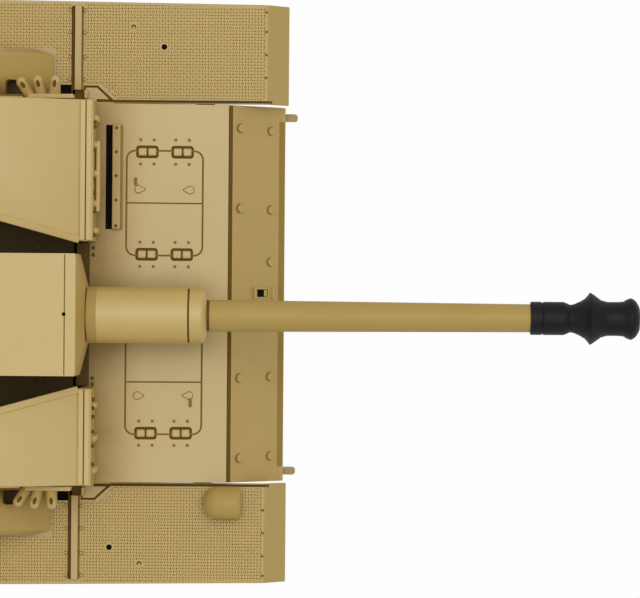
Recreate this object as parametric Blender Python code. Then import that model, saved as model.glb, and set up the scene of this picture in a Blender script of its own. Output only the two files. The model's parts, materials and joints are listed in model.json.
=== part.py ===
"""A remote-control assault gun tank at one-sixteenth scale, as separate solids.

Metres, +Z up. The tank drives towards +X and its left side is +Y. Every piece is laid
out in hull coordinates, where x = 0 is the front edge of the fenders, y = 0 the hull's
middle and z = 0 the ground. One empty then carries the whole tank, so that the world
origin is the middle of the tank's box, on the ground.
"""

import math

import bmesh
import bpy
from mathutils import Matrix, Vector

# Clearances
SEAT_GAP = 0.0003
BORE_GAP = 0.0003
DOOR_GAP = 0.0004

# Tracks and wheels
TRACK_WIDTH = 0.025
TRACK_THICKNESS = 0.0035
TRACK_GROOVE_DEPTH = 0.0025
TRACK_TO_HULL = 0.006
TRACK_ARC_STEPS = 24
ROAD_WHEEL_COUNT = 6
ROAD_WHEEL_RADIUS = 0.01625
ROAD_WHEEL_GAP = 0.00325
WHEEL_PAIR_SLOT = 0.0048
WHEEL_TYRE_WIDTH = 0.0047
WHEEL_SLOT_DEPTH = 0.0052
WHEEL_RIM = 0.0035
WHEEL_RIM_SLOPE = 0.0007
WHEEL_DISH = 0.0012
HUB_RADIUS = 0.0052
HUB_TIP_RADIUS = 0.0042
HUB_LENGTH = 0.0014
SPROCKET_ROOT_RADIUS = 0.0195
SPROCKET_HEIGHT = 0.040
SPROCKET_TEETH = 20
SPROCKET_TOOTH_HEIGHT = 0.002
SPROCKET_TOOTH_ROOT = 0.64
SPROCKET_TOOTH_TIP = 0.28
SPROCKET_RING_OFFSET = 0.0090
SPROCKET_RING_WIDTH = 0.0020
SPROCKET_AXLE_RADIUS = 0.0030
SPROCKET_TO_WHEEL = 0.0083
TRACK_FRONT_BACK = 0.0041
IDLER_RADIUS = 0.020
IDLER_HEIGHT = 0.038
IDLER_SLOT_DEPTH = 0.0055
WHEEL_TO_IDLER = 0.0078
RETURN_ROLLER_COUNT = 3
RETURN_ROLLER_RADIUS = 0.0095
RETURN_ROLLER_SLOT_DEPTH = 0.0047
AXLE_RADIUS = 0.0022
AXLE_END_WALL = 0.0012
ARM_REACH = 0.016
ARM_RISE = 0.010
ARM_THICKNESS = 0.0036
ARM_HALF_HEIGHT = 0.0032
WALL_PIN_LENGTH = 0.0036

# Lower hull
HULL_WIDTH = 0.116
HULL_WALL = 0.0022
BELLY_CLEARANCE = 0.026
HULL_RIM_DROP = 0.0058
REAR_RAKE = 0.012
REAR_OVERHANG = 0.024
NOSE_FOOT = 0.030
NOSE_KNEE_BACK = 0.0125
NOSE_KNEE_RISE = 0.004
NOSE_TIP_DROP = 0.0135
NOSE_TIP_BACK = 0.0010
NOSE_WALL = 0.0032
TOW_EYE_LENGTH = 0.0038
TOW_EYE_WIDTH = 0.0023
TOW_EYE_HEIGHT = 0.0052
TOW_EYE_DROP = 0.0028

# Upper hull
DECK_OVERHANG = 0.0015
DECK_WALL = 0.0020
GLACIS_WALL = 0.0030
ENGINE_DECK_WALL = 0.0022
GLACIS_EDGE_BACK = 0.0181
GLACIS_EDGE_RISE = 0.0014
GLACIS_GROOVE = 0.0016
GLACIS_REAR_RISE = 0.0062
ENGINE_DECK_RISE = 0.0200
ENGINE_DECK_FALL = 0.0060
ENGINE_DECK_TAIL = 0.018
ENGINE_TAIL_FALL = 0.0156
INTAKE_WIDTH = 0.0130
INTAKE_LENGTH = 0.080
INTAKE_SETBACK = 0.010
INTAKE_SLOPE = 0.0043
DECK_OPENING_FRONT = 0.0030
DECK_OPENING_REAR = 0.0068
DECK_OPENING_SIDE = 0.0135
CRADLE_BEAM_WIDTH = 0.013
CRADLE_BEAM_THICKNESS = 0.0032

# Fenders
FENDER_THICKNESS = 0.0018
FENDER_CLEARANCE = 0.0020
FENDER_OVERHANG = 0.0032
FENDER_LIP_DROP = 0.0042
FENDER_LIP_WALL = 0.0014
FENDER_RIB_BACK = 0.0665
FENDER_RIB_WIDTH = 0.0026
FENDER_RIB_RISE = 0.0014
FLAP_LENGTH = 0.0068
FLAP_DROP = 0.0060
REAR_FLAP_LENGTH = 0.012
REAR_FLAP_DROP = 0.006
FENDER_TAIL = 0.0084

# Casemate
CASEMATE_FRONT_BACK = 0.0598
CASEMATE_LENGTH = 0.1292
CASEMATE_WALL = 0.0022
ROOF_WALL = 0.0024
FRONT_PLATE_RISE = 0.0200
FRONT_PLATE_LEDGE = 0.0042
RAMP_RISE = 0.0230
RAMP_RUN = 0.0452
SPONSON_SETBACK = 0.0142
SPONSON_WIDTH = 0.0170
SPONSON_LEAN = 0.0030
SPONSON_FRONT_WALL = 0.0029
SPONSON_CHAMFER_LENGTH = 0.0056
SPONSON_CHAMFER_WIDTH = 0.0016
GUN_SLOT_HALF_FRONT = 0.0227
GUN_SLOT_HALF_REAR = 0.0354
GUN_SLOT_DEPTH = 0.0462

# Gun
GUN_OFFSET = 0.0068
GUN_AXIS_RISE = 0.0248
TRUNNION_BACK = 0.0132
TRUNNION_RADIUS = 0.0022
MANTLET_HALF_WIDTH = 0.0186
MANTLET_WALL = 0.0022
MANTLET_FRONT_WALL = 0.0040
MANTLET_LENGTH = 0.0380
MANTLET_SETBACK = 0.0026
MANTLET_ABOVE = 0.0145
MANTLET_BELOW = 0.0125
MANTLET_NOSE = 0.0012
MANTLET_NOSE_HALF_WIDTH = 0.0096
MANTLET_NOSE_HALF_HEIGHT = 0.0095
CRADLE_PLATE_THICKNESS = 0.0018
CRADLE_PLATE_HALF_WIDTH = 0.0300
CRADLE_PLATE_FRONT = 0.0060
CRADLE_PLATE_REAR = 0.0300
CRADLE_CHEEK_THICKNESS = 0.0030
CRADLE_CHEEK_WIDTH = 0.0090
CRADLE_PIVOT_RADIUS = 0.0032
CRADLE_PIVOT_LENGTH = 0.0042
SLEEVE_RADIUS = 0.0086
SLEEVE_LENGTH = 0.0376
SLEEVE_SPIGOT_RADIUS = 0.0060
SLEEVE_RING_LENGTH = 0.0062
SLEEVE_GROOVE = 0.0006
SLEEVE_SHOULDER = 0.0025
BARREL_RADIUS = 0.0049
BARREL_MUZZLE_RADIUS = 0.0043
BARREL_LENGTH = 0.0979
BARREL_ROOT = 0.0200
BARREL_SPIGOT_LENGTH = 0.0080
BARREL_SPIGOT_RADIUS = 0.0038
BORE_RADIUS = 0.0033
BRAKE_LENGTH = 0.0334
BRAKE_COLLAR_RADIUS = 0.0051
BRAKE_COLLAR_LENGTH = 0.0101
BRAKE_WAIST_RADIUS = 0.0044
BRAKE_WAIST_AT = 0.0122
BRAKE_FLANGE_RADIUS = 0.0080
BRAKE_FLANGE_AT = 0.0182
BRAKE_FLANGE_SLOPE = 0.0026
BRAKE_NECK_RADIUS = 0.0053
BRAKE_NECK_START = 0.0226
BRAKE_NECK_END = 0.0286
BRAKE_END_RADIUS = 0.00636
BRAKE_END_AT = 0.0308
BRAKE_MOUTH_RADIUS = 0.0046

# Hatches, fittings
CUPOLA_RADIUS = 0.0150
CUPOLA_BORE = 0.0105
CUPOLA_HEIGHT = 0.0125
CUPOLA_SHOULDER = 0.0075
CUPOLA_TOP_RADIUS = 0.0129
CUPOLA_AHEAD = 0.0310
CUPOLA_LEFT = 0.0290
HATCH_THICKNESS = 0.0024
HATCH_EDGE = 0.0014
HATCH_CROWN_RADIUS = 0.0103
LOADER_FLAP_LENGTH = 0.0135
LOADER_FLAP_WIDTH = 0.0240
LOADER_FLAP_THICKNESS = 0.0018
LOADER_RIGHT = 0.0310
LOADER_LEDGE = 0.0022
SMOKE_TUBE_RADIUS = 0.0016
SMOKE_TUBE_BORE = 0.0008
SMOKE_TUBE_LENGTH = 0.0062
SMOKE_BORE_DEPTH = 0.0030
SMOKE_TUBE_PITCH = 0.0036
SMOKE_TUBE_START = 0.0064
SMOKE_TUBE_FAN = (math.radians(8), math.radians(-9), math.radians(-23))
SMOKE_TUBE_RISE = math.radians(36)
SMOKE_BRACKET_SETBACK = 0.0062
SMOKE_BRACKET_LENGTH = 0.0142
SMOKE_BRACKET_THICKNESS = 0.0014
SMOKE_BRACKET_HEIGHT = 0.0062
LAMP_RADIUS = 0.0053
LAMP_LENGTH = 0.0120
LAMP_BACK = 0.0140
LAMP_BEVEL = 0.0014
LAMP_INSET = 0.0006
LAMP_ARC_STEPS = 4
LAMP_SINK = 0.0012

# Belly door, switch and what the hull holds
BATTERY_LENGTH = 0.074
BATTERY_WIDTH = 0.036
BATTERY_HEIGHT = 0.018
DOOR_MARGIN = 0.003
BATTERY_BACK = 0.128
SWITCH_BACK = 0.232
SWITCH_LEFT = 0.024
SWITCH_TRAVEL = 0.0040
SWITCH_KNOB_LENGTH = 0.0040
SWITCH_KNOB_WIDTH = 0.0034
SWITCH_PROUD = 0.0010
SWITCH_FLANGE = 0.0024
SWITCH_FLANGE_THICKNESS = 0.0014
GEARBOX_LENGTH = 0.036
GEARBOX_WIDTH = 0.022
GEARBOX_HEIGHT = 0.022
MOTOR_RADIUS = 0.0085
MOTOR_LENGTH = 0.030
BOARD_LENGTH = 0.055
BOARD_WIDTH = 0.076
BOARD_THICKNESS = 0.0016
BOARD_POST_RADIUS = 0.0025
BOARD_POST_HEIGHT = 0.0055
BOARD_POST_INSET = 0.004
BOARD_BACK = 0.246
CHIP_LENGTH = 0.011
CHIP_WIDTH = 0.0127
CHIP_HEIGHT = 0.004
SPEAKER_RADIUS = 0.018
SPEAKER_HEIGHT = 0.009
SPEAKER_RIM = 0.0027
SPEAKER_MAGNET_RADIUS = 0.0099
SPEAKER_MAGNET_HEIGHT = 0.0036
SPEAKER_BACK = 0.250

# Facets around a round piece
WHEEL_FACETS = 16
SMALL_FACETS = 10
BARREL_FACETS = 16

# Positions that follow from the sizes above
HALF_HULL = HULL_WIDTH / 2
HALF_DECK = HALF_HULL + DECK_OVERHANG
TRACK_INNER = HALF_HULL + TRACK_TO_HULL
TRACK_MIDDLE = TRACK_INNER + TRACK_WIDTH / 2
FENDER_INNER = HALF_DECK + SEAT_GAP
FENDER_OUTER = TRACK_INNER + TRACK_WIDTH + FENDER_OVERHANG
SPROCKET_BACK = SPROCKET_ROOT_RADIUS + TRACK_THICKNESS + TRACK_FRONT_BACK
WHEEL_SPACING = 2 * ROAD_WHEEL_RADIUS + ROAD_WHEEL_GAP
FIRST_WHEEL_BACK = SPROCKET_BACK + SPROCKET_ROOT_RADIUS + SPROCKET_TO_WHEEL + ROAD_WHEEL_RADIUS
LAST_WHEEL_BACK = FIRST_WHEEL_BACK + (ROAD_WHEEL_COUNT - 1) * WHEEL_SPACING
IDLER_BACK = LAST_WHEEL_BACK + ROAD_WHEEL_RADIUS + WHEEL_TO_IDLER + IDLER_RADIUS
HULL_REAR_BACK = IDLER_BACK + REAR_OVERHANG
FENDER_REAR_BACK = HULL_REAR_BACK + FENDER_TAIL
WHEEL_AXLE_HEIGHT = TRACK_THICKNESS + SEAT_GAP + ROAD_WHEEL_RADIUS
TRACK_TOP = SPROCKET_HEIGHT + SPROCKET_ROOT_RADIUS + SEAT_GAP + TRACK_THICKNESS
FENDER_BOTTOM = TRACK_TOP + FENDER_CLEARANCE
FENDER_TOP = FENDER_BOTTOM + FENDER_THICKNESS
HULL_RIM = FENDER_TOP - HULL_RIM_DROP
NOSE_TIP = FENDER_TOP - NOSE_TIP_DROP
BELLY_FLOOR = BELLY_CLEARANCE + HULL_WALL
GLACIS_EDGE = FENDER_TOP + GLACIS_EDGE_RISE
GLACIS_REAR = FENDER_TOP + GLACIS_REAR_RISE
CASEMATE_REAR_BACK = CASEMATE_FRONT_BACK + CASEMATE_LENGTH
ENGINE_DECK = FENDER_TOP + ENGINE_DECK_RISE
PLATE_TOP = GLACIS_REAR + FRONT_PLATE_RISE
ROOF = PLATE_TOP + RAMP_RISE
RAMP_END_BACK = CASEMATE_FRONT_BACK + FRONT_PLATE_LEDGE + RAMP_RUN
GUN_AXIS = GLACIS_REAR + GUN_AXIS_RISE
HATCH_X = CUPOLA_AHEAD - CASEMATE_REAR_BACK
TRUNNION_X = -(CASEMATE_FRONT_BACK + TRUNNION_BACK)
MANTLET_FRONT_X = -CASEMATE_FRONT_BACK - MANTLET_SETBACK
SLEEVE_START_X = MANTLET_FRONT_X + MANTLET_NOSE + SEAT_GAP
SLEEVE_END_X = SLEEVE_START_X + SLEEVE_LENGTH
BARREL_END_X = SLEEVE_END_X + BARREL_LENGTH
MUZZLE_X = BARREL_END_X + SEAT_GAP + BRAKE_LENGTH
TANK_SHIFT = (FENDER_REAR_BACK - MUZZLE_X) / 2


def finish_material(name, colour, roughness, metallic=0.0):
    """A Principled material with one colour, for a whole piece."""
    material = bpy.data.materials.new(name)
    material.use_nodes = True
    shader = material.node_tree.nodes["Principled BSDF"]
    shader.inputs["Base Color"].default_value = (*colour, 1.0)
    shader.inputs["Roughness"].default_value = roughness
    shader.inputs["Metallic"].default_value = metallic
    return material


def prism(outline, axis, low, high):
    """A closed prism. The outline lies across the axis: (y, z) for X, (x, z) for Y, (x, y) for Z."""
    place = {
        "X": lambda a, b, along: (along, a, b),
        "Y": lambda a, b, along: (a, along, b),
        "Z": lambda a, b, along: (a, b, along),
    }[axis]
    shape = bmesh.new()
    near = [shape.verts.new(place(a, b, low)) for a, b in outline]
    far = [shape.verts.new(place(a, b, high)) for a, b in outline]
    shape.faces.new(near)
    shape.faces.new(far)
    for i in range(len(outline)):
        j = (i + 1) % len(outline)
        shape.faces.new((near[i], near[j], far[j], far[i]))
    bmesh.ops.recalc_face_normals(shape, faces=shape.faces)
    return shape


def block(low, high):
    """A closed box between two corners given in any order."""
    (x0, y0, z0), (x1, y1, z1) = low, high
    return prism([(x0, y0), (x1, y0), (x1, y1), (x0, y1)], "Z", z0, z1)


def turned(profile, axis, centre, facets=WHEEL_FACETS):
    """A body turned about an axis, from (radius, along) points that close on the axis or on themselves."""
    spin = {
        "X": lambda r, along, c, s: (along, r * c, r * s),
        "Y": lambda r, along, c, s: (r * c, along, r * s),
        "Z": lambda r, along, c, s: (r * c, r * s, along),
    }[axis]
    shape = bmesh.new()
    middle = Vector(centre)
    rings = []
    for radius, along in profile:
        count = facets if radius > 0 else 1
        angles = [2 * math.pi * (i + 0.5) / facets for i in range(count)]
        points = [spin(radius, along, math.cos(a), math.sin(a)) for a in angles]
        rings.append([shape.verts.new(middle + Vector(p)) for p in points])
    on_axis = profile[0][0] == 0 and profile[-1][0] == 0
    pairs = list(zip(rings, rings[1:]))
    if not on_axis:
        pairs.append((rings[-1], rings[0]))
    for first, second in pairs:
        for i in range(facets):
            j = (i + 1) % facets
            corners = [first[i % len(first)], first[j % len(first)]]
            corners += [second[j % len(second)], second[i % len(second)]]
            shape.faces.new(list(dict.fromkeys(corners)))
    bmesh.ops.recalc_face_normals(shape, faces=shape.faces)
    return shape


def rod(axis, centre, low, high, radius, facets=SMALL_FACETS):
    """A plain round rod along an axis, from low to high."""
    return turned([(0, low), (radius, low), (radius, high), (0, high)], axis, centre, facets)


def skin_over(points):
    """The closed convex solid over some points."""
    shape = bmesh.new()
    for point in points:
        shape.verts.new(point)
    made = bmesh.ops.convex_hull(shape, input=shape.verts)
    spare = {e for e in made["geom_interior"] + made["geom_unused"] if isinstance(e, bmesh.types.BMVert)}
    bmesh.ops.delete(shape, geom=list(spare), context="VERTS")
    flat = math.radians(0.1)
    bmesh.ops.dissolve_limit(shape, angle_limit=flat, verts=shape.verts, edges=shape.edges)
    bmesh.ops.recalc_face_normals(shape, faces=shape.faces)
    return shape


def object_from(name, shape):
    """Links a new object that holds the shape."""
    mesh = bpy.data.meshes.new(name)
    shape.to_mesh(mesh)
    shape.free()
    made = bpy.data.objects.new(name, mesh)
    bpy.context.scene.collection.objects.link(made)
    return made


def combine(piece, shape, operation):
    """Joins a shape to a piece, or cuts it away, and keeps the result as the piece's mesh."""
    tool = object_from(piece.name + "_tool", shape)
    modifier = piece.modifiers.new("combine", "BOOLEAN")
    modifier.operation = operation
    modifier.solver = "EXACT"
    modifier.object = tool
    graph = bpy.context.evaluated_depsgraph_get()
    mesh = bpy.data.meshes.new_from_object(piece.evaluated_get(graph))
    piece.modifiers.clear()
    piece.data = mesh
    bpy.data.objects.remove(tool)


def solid(name, material, base, joins=(), cuts=(), inserts=(), drills=(), origin=(0, 0, 0)):
    """One named piece in hull coordinates: what is joined, what is cut, then what is set in and drilled."""
    piece = object_from(name, base)
    steps = ((joins, "UNION"), (cuts, "DIFFERENCE"), (inserts, "UNION"), (drills, "DIFFERENCE"))
    for shapes, operation in steps:
        for shape in shapes:
            combine(piece, shape, operation)
    piece.data.name = name
    piece.data.transform(Matrix.Translation(-Vector(origin)))
    piece.data.materials.clear()
    piece.data.materials.append(material)
    piece.data.shade_smooth()
    piece.data.set_sharp_from_angle(angle=math.radians(35))
    piece.location = origin
    piece.parent = bpy.data.objects["tank"]
    return piece


def shrunk(outline, wall):
    """A convex outline drawn in by a wall all round."""
    count = len(outline)
    middle = sum((Vector(p) for p in outline), Vector((0, 0))) / count
    lines = []
    for i in range(count):
        a, b = Vector(outline[i]), Vector(outline[(i + 1) % count])
        normal = Vector((-(b - a).y, (b - a).x)).normalized()
        if normal.dot(middle - a) < 0:
            normal = -normal
        lines.append((a + normal * wall, (b - a).normalized()))
    drawn_in = []
    for i in range(count):
        (p, d), (q, e) = lines[i - 1], lines[i]
        cross = d.x * e.y - d.y * e.x
        along = ((q - p).x * e.y - (q - p).y * e.x) / cross
        drawn_in.append(tuple(p + d * along))
    return drawn_in


def side_name(side):
    return "left" if side > 0 else "right"


def wheel_x(index):
    return -(FIRST_WHEEL_BACK + index * WHEEL_SPACING)


def roller_x(index):
    """Return rollers hang over evenly spaced gaps between the road wheels."""
    stride = ROAD_WHEEL_COUNT // RETURN_ROLLER_COUNT
    return -(FIRST_WHEEL_BACK + (index * stride + 0.5) * WHEEL_SPACING)


def top_run_height(x):
    """Height of the track's inner face over the rollers, from the idler's top to the sprocket's."""
    front = SPROCKET_HEIGHT + SPROCKET_ROOT_RADIUS
    rear = IDLER_HEIGHT + IDLER_RADIUS
    return front + (rear - front) * (-x - SPROCKET_BACK) / (IDLER_BACK - SPROCKET_BACK)


def roller_height(index):
    return top_run_height(roller_x(index)) - RETURN_ROLLER_RADIUS


def wheel_faces():
    """Distances from the hull's middle to a twin wheel's inner and outer faces."""
    half = WHEEL_PAIR_SLOT / 2 + WHEEL_TYRE_WIDTH
    return TRACK_MIDDLE - half, TRACK_MIDDLE + half


def axle_end():
    return wheel_faces()[1] - AXLE_END_WALL


def pin_end():
    """Distance from the hull's middle to the inner end of an axle or pin in the hull's wall."""
    return HALF_HULL - WALL_PIN_LENGTH


def twin_wheel_profile(radius, slot_depth, core):
    """Half section of a twin wheel: two tyres and the slot between them, round a bore or an axle."""
    inner, outer = wheel_faces()
    slot_in = TRACK_MIDDLE - WHEEL_PAIR_SLOT / 2
    slot_out = TRACK_MIDDLE + WHEEL_PAIR_SLOT / 2
    return [
        (0, outer + HUB_LENGTH),
        (HUB_TIP_RADIUS, outer + HUB_LENGTH),
        (HUB_RADIUS, outer - WHEEL_DISH),
        (radius - WHEEL_RIM, outer - WHEEL_DISH),
        (radius - WHEEL_RIM + WHEEL_RIM_SLOPE, outer),
        (radius, outer),
        (radius, slot_out),
        (radius - slot_depth, slot_out),
        (radius - slot_depth, slot_in),
        (radius, slot_in),
        (radius, inner),
        *core,
    ]


def blind_bore():
    """The end of a wheel's half section where it turns on an arm's stub axle."""
    bore, end = AXLE_RADIUS + BORE_GAP, axle_end() + BORE_GAP
    return [(bore, wheel_faces()[0]), (bore, end), (0, end)]


def fixed_axle():
    """The end of a wheel's half section where the wheel has its own axle in the hull's wall."""
    return [(AXLE_RADIUS, wheel_faces()[0]), (AXLE_RADIUS, pin_end()), (0, pin_end())]


def make_twin_wheel(name, material, side, x, z, radius, slot_depth, core):
    profile = [(r, side * along) for r, along in twin_wheel_profile(radius, slot_depth, core)]
    solid(name, material, turned(profile, "Y", (x, 0, z)), origin=(x, side * TRACK_MIDDLE, z))


def arm_outline(*ends):
    """Round-ended bar over two points."""
    points = []
    for x, z in ends:
        for i in range(SMALL_FACETS):
            angle = 2 * math.pi * (i + 0.5) / SMALL_FACETS
            points.append((x + ARM_HALF_HEIGHT * math.cos(angle), z + ARM_HALF_HEIGHT * math.sin(angle)))
    return round_hull(points)


def make_suspension(side, steel, rubber):
    """Six trailing arms a side, each with its hull pin and the stub axle that its road wheel turns on."""
    near, far = HALF_HULL + SEAT_GAP, HALF_HULL + SEAT_GAP + ARM_THICKNESS
    for index in range(ROAD_WHEEL_COUNT):
        x, z = wheel_x(index), WHEEL_AXLE_HEIGHT
        pivot_x, pivot_z = x + ARM_REACH, z + ARM_RISE
        plate = prism(arm_outline((x, z), (pivot_x, pivot_z)), "Y", side * near, side * far)
        pin = rod("Y", (pivot_x, 0, pivot_z), side * pin_end(), side * (near + SEAT_GAP), AXLE_RADIUS)
        stub = rod("Y", (x, 0, z), side * (far - SEAT_GAP), side * axle_end(), AXLE_RADIUS)
        label = f"{side_name(side)}_{index + 1}"
        origin = (pivot_x, side * near, pivot_z)
        solid("suspension_arm_" + label, steel, plate, [pin, stub], origin=origin)
        wheel = "road_wheel_" + label
        make_twin_wheel(wheel, rubber, side, x, z, ROAD_WHEEL_RADIUS, WHEEL_SLOT_DEPTH, blind_bore())


def make_return_rollers(side, material):
    for index in range(RETURN_ROLLER_COUNT):
        name = f"return_roller_{side_name(side)}_{index + 1}"
        x, z = roller_x(index), roller_height(index)
        sizes = (RETURN_ROLLER_RADIUS, RETURN_ROLLER_SLOT_DEPTH)
        make_twin_wheel(name, material, side, x, z, *sizes, fixed_axle())


def make_idler(side, material):
    name = "idler_wheel_" + side_name(side)
    place = (-IDLER_BACK, IDLER_HEIGHT)
    make_twin_wheel(name, material, side, *place, IDLER_RADIUS, IDLER_SLOT_DEPTH, fixed_axle())


def sprocket_ring_outline():
    """Toothed outline of one sprocket ring. A tooth's root and tip widths are shares of the pitch."""
    outline = []
    low, high = SPROCKET_ROOT_RADIUS, SPROCKET_ROOT_RADIUS + SPROCKET_TOOTH_HEIGHT
    root, tip = SPROCKET_TOOTH_ROOT / 2, SPROCKET_TOOTH_TIP / 2
    for tooth in range(SPROCKET_TEETH):
        for share, radius in ((-root, low), (-tip, high), (tip, high), (root, low)):
            angle = 2 * math.pi * (tooth + share) / SPROCKET_TEETH
            across, up = radius * math.cos(angle), radius * math.sin(angle)
            outline.append((-SPROCKET_BACK + across, SPROCKET_HEIGHT + up))
    return outline


def make_sprocket(side, material):
    """The drive wheel: two toothed rings on a drum, on the output axle that runs into the gearbox."""
    middle = (-SPROCKET_BACK, 0, SPROCKET_HEIGHT)
    half = SPROCKET_RING_WIDTH / 2
    rings = []
    for offset in (-SPROCKET_RING_OFFSET, SPROCKET_RING_OFFSET):
        along = TRACK_MIDDLE + offset
        rings.append(prism(sprocket_ring_outline(), "Y", side * (along - half), side * (along + half)))
    reach = SPROCKET_RING_OFFSET + half + HUB_LENGTH
    drum_radius = SPROCKET_ROOT_RADIUS - WHEEL_SLOT_DEPTH
    low, high = TRACK_MIDDLE - SPROCKET_RING_OFFSET, TRACK_MIDDLE + SPROCKET_RING_OFFSET
    drum = rod("Y", middle, side * low, side * high, drum_radius, WHEEL_FACETS)
    hub = rod("Y", middle, side * low, side * (TRACK_MIDDLE + reach), HUB_RADIUS)
    axle_low = gearbox_outer_face() - GEARBOX_WIDTH / 2
    axle = rod("Y", middle, side * axle_low, side * TRACK_MIDDLE, SPROCKET_AXLE_RADIUS)
    origin = (-SPROCKET_BACK, side * TRACK_MIDDLE, SPROCKET_HEIGHT)
    solid("drive_sprocket_" + side_name(side), material, drum, [*rings, hub, axle], origin=origin)


def track_path():
    """Corners of the track's inner face: the taut line round sprocket, idler and the end road wheels."""
    circles = (
        (-SPROCKET_BACK, SPROCKET_HEIGHT, SPROCKET_ROOT_RADIUS),
        (-IDLER_BACK, IDLER_HEIGHT, IDLER_RADIUS),
        (wheel_x(0), WHEEL_AXLE_HEIGHT, ROAD_WHEEL_RADIUS),
        (wheel_x(ROAD_WHEEL_COUNT - 1), WHEEL_AXLE_HEIGHT, ROAD_WHEEL_RADIUS),
    )
    step = 2 * math.pi / TRACK_ARC_STEPS
    points = []
    for x, z, radius in circles:
        outside = (radius + SEAT_GAP) / math.cos(step / 2)
        for i in range(TRACK_ARC_STEPS):
            angle = (i + 0.5) * step
            points.append((x + outside * math.cos(angle), z + outside * math.sin(angle)))
    return round_hull(points)


def round_hull(points):
    """Corners of the taut loop round some points, anticlockwise."""
    ordered = sorted(points)
    loop = []
    for run in (ordered, ordered[::-1]):
        chain = []
        for p in run:
            while len(chain) > 1 and turn(chain[-2], chain[-1], p) <= 1e-12:
                chain.pop()
            chain.append(p)
        loop += chain[:-1]
    return loop


def turn(a, b, c):
    return (b[0] - a[0]) * (c[1] - a[1]) - (b[1] - a[1]) * (c[0] - a[0])


def track_section():
    """The band's section: (across, outward) points, with a groove for each toothed sprocket ring."""
    half, groove = TRACK_WIDTH / 2, SPROCKET_RING_WIDTH / 2 + BORE_GAP
    inner, outer = SPROCKET_RING_OFFSET - groove, SPROCKET_RING_OFFSET + groove
    deep = TRACK_GROOVE_DEPTH
    left = [(-half, 0), (-outer, 0), (-outer, deep), (-inner, deep), (-inner, 0)]
    right = [(-a, b) for a, b in reversed(left)]
    return left + right + [(half, TRACK_THICKNESS), (-half, TRACK_THICKNESS)]


def make_track(side, material):
    """The endless track as one grooved band round the wheels."""
    path = [Vector(p) for p in track_path()]
    section = track_section()
    shape = bmesh.new()
    rings = []
    for i, point in enumerate(path):
        before = (point - path[i - 1]).normalized()
        after = (path[(i + 1) % len(path)] - point).normalized()
        out_before = Vector((before.y, -before.x))
        out_after = Vector((after.y, -after.x))
        outward = (out_before + out_after) / (1 + out_before.dot(out_after))
        ring = []
        for across, out in section:
            spot = point + outward * out
            ring.append(shape.verts.new((spot.x, side * (TRACK_MIDDLE + across), spot.y)))
        rings.append(ring)
    for i, ring in enumerate(rings):
        following = rings[(i + 1) % len(rings)]
        for j in range(len(section)):
            k = (j + 1) % len(section)
            shape.faces.new((ring[j], ring[k], following[k], following[j]))
    bmesh.ops.recalc_face_normals(shape, faces=shape.faces)
    solid("track_" + side_name(side), material, shape)


def lower_hull_outline():
    return [
        (-HULL_REAR_BACK, HULL_RIM),
        (-HULL_REAR_BACK + REAR_RAKE, BELLY_CLEARANCE),
        (-NOSE_FOOT, BELLY_CLEARANCE),
        (-NOSE_KNEE_BACK, BELLY_CLEARANCE + NOSE_KNEE_RISE),
        (-NOSE_TIP_BACK - SEAT_GAP, NOSE_TIP - SEAT_GAP),
        (-nose_plate_x(HULL_RIM), HULL_RIM),
    ]


def nose_plate_x(height):
    """Distance back of the nose plate's outer face less its wall, at a height."""
    slope = (GLACIS_EDGE_BACK - NOSE_TIP_BACK) / (GLACIS_EDGE - NOSE_TIP)
    return NOSE_TIP_BACK + (height - NOSE_TIP) * slope + NOSE_WALL


def belly_opening(margin):
    """Low and high corners in plan of the battery door's hole, drawn in by a margin."""
    reach = DOOR_MARGIN + margin
    front, rear = -BATTERY_BACK + reach, -BATTERY_BACK - BATTERY_LENGTH - reach
    half = BATTERY_WIDTH / 2 + reach
    return (rear, -half), (front, half)


def make_lower_hull(material):
    """The chassis tub: towing lugs, holes for every axle and arm pin, the belly's two openings."""
    outline = lower_hull_outline()
    base = prism(outline, "Y", -HALF_HULL, HALF_HULL)
    inner = shrunk(outline, HULL_WALL)
    lift = FENDER_THICKNESS + HULL_RIM_DROP
    inner[0] = (inner[0][0], HULL_RIM + lift)
    inner[-1] = (inner[-1][0], HULL_RIM + lift)
    cuts = [prism(inner, "Y", -HALF_HULL + HULL_WALL, HALF_HULL - HULL_WALL)]
    joins = []
    holes = [(-IDLER_BACK, IDLER_HEIGHT)]
    holes += [(roller_x(i), roller_height(i)) for i in range(RETURN_ROLLER_COUNT)]
    holes += [(wheel_x(i) + ARM_REACH, WHEEL_AXLE_HEIGHT + ARM_RISE) for i in range(ROAD_WHEEL_COUNT)]
    for side in (1, -1):
        through = side * (HALF_HULL - HULL_WALL * 2), side * (HALF_HULL + HULL_WALL)
        for x, z in holes:
            cuts.append(rod("Y", (x, 0, z), *through, AXLE_RADIUS + BORE_GAP))
        drive = (-SPROCKET_BACK, 0, SPROCKET_HEIGHT)
        cuts.append(rod("Y", drive, *through, SPROCKET_AXLE_RADIUS + BORE_GAP))
        joins.append(tow_eye(side))
    (rear, right), (front, left) = belly_opening(DOOR_GAP)
    below, above = BELLY_CLEARANCE - HULL_WALL, BELLY_FLOOR + HULL_WALL
    cuts.append(block((rear, right, below), (front, left, above)))
    half_slot = (SWITCH_KNOB_LENGTH / 2 + DOOR_GAP, SWITCH_KNOB_WIDTH / 2 + DOOR_GAP)
    slot_low = (-SWITCH_BACK - half_slot[0] - SWITCH_TRAVEL, SWITCH_LEFT - half_slot[1], below)
    cuts.append(block(slot_low, (-SWITCH_BACK + half_slot[0], SWITCH_LEFT + half_slot[1], above)))
    solid("lower_hull", material, base, joins, cuts)


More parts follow.
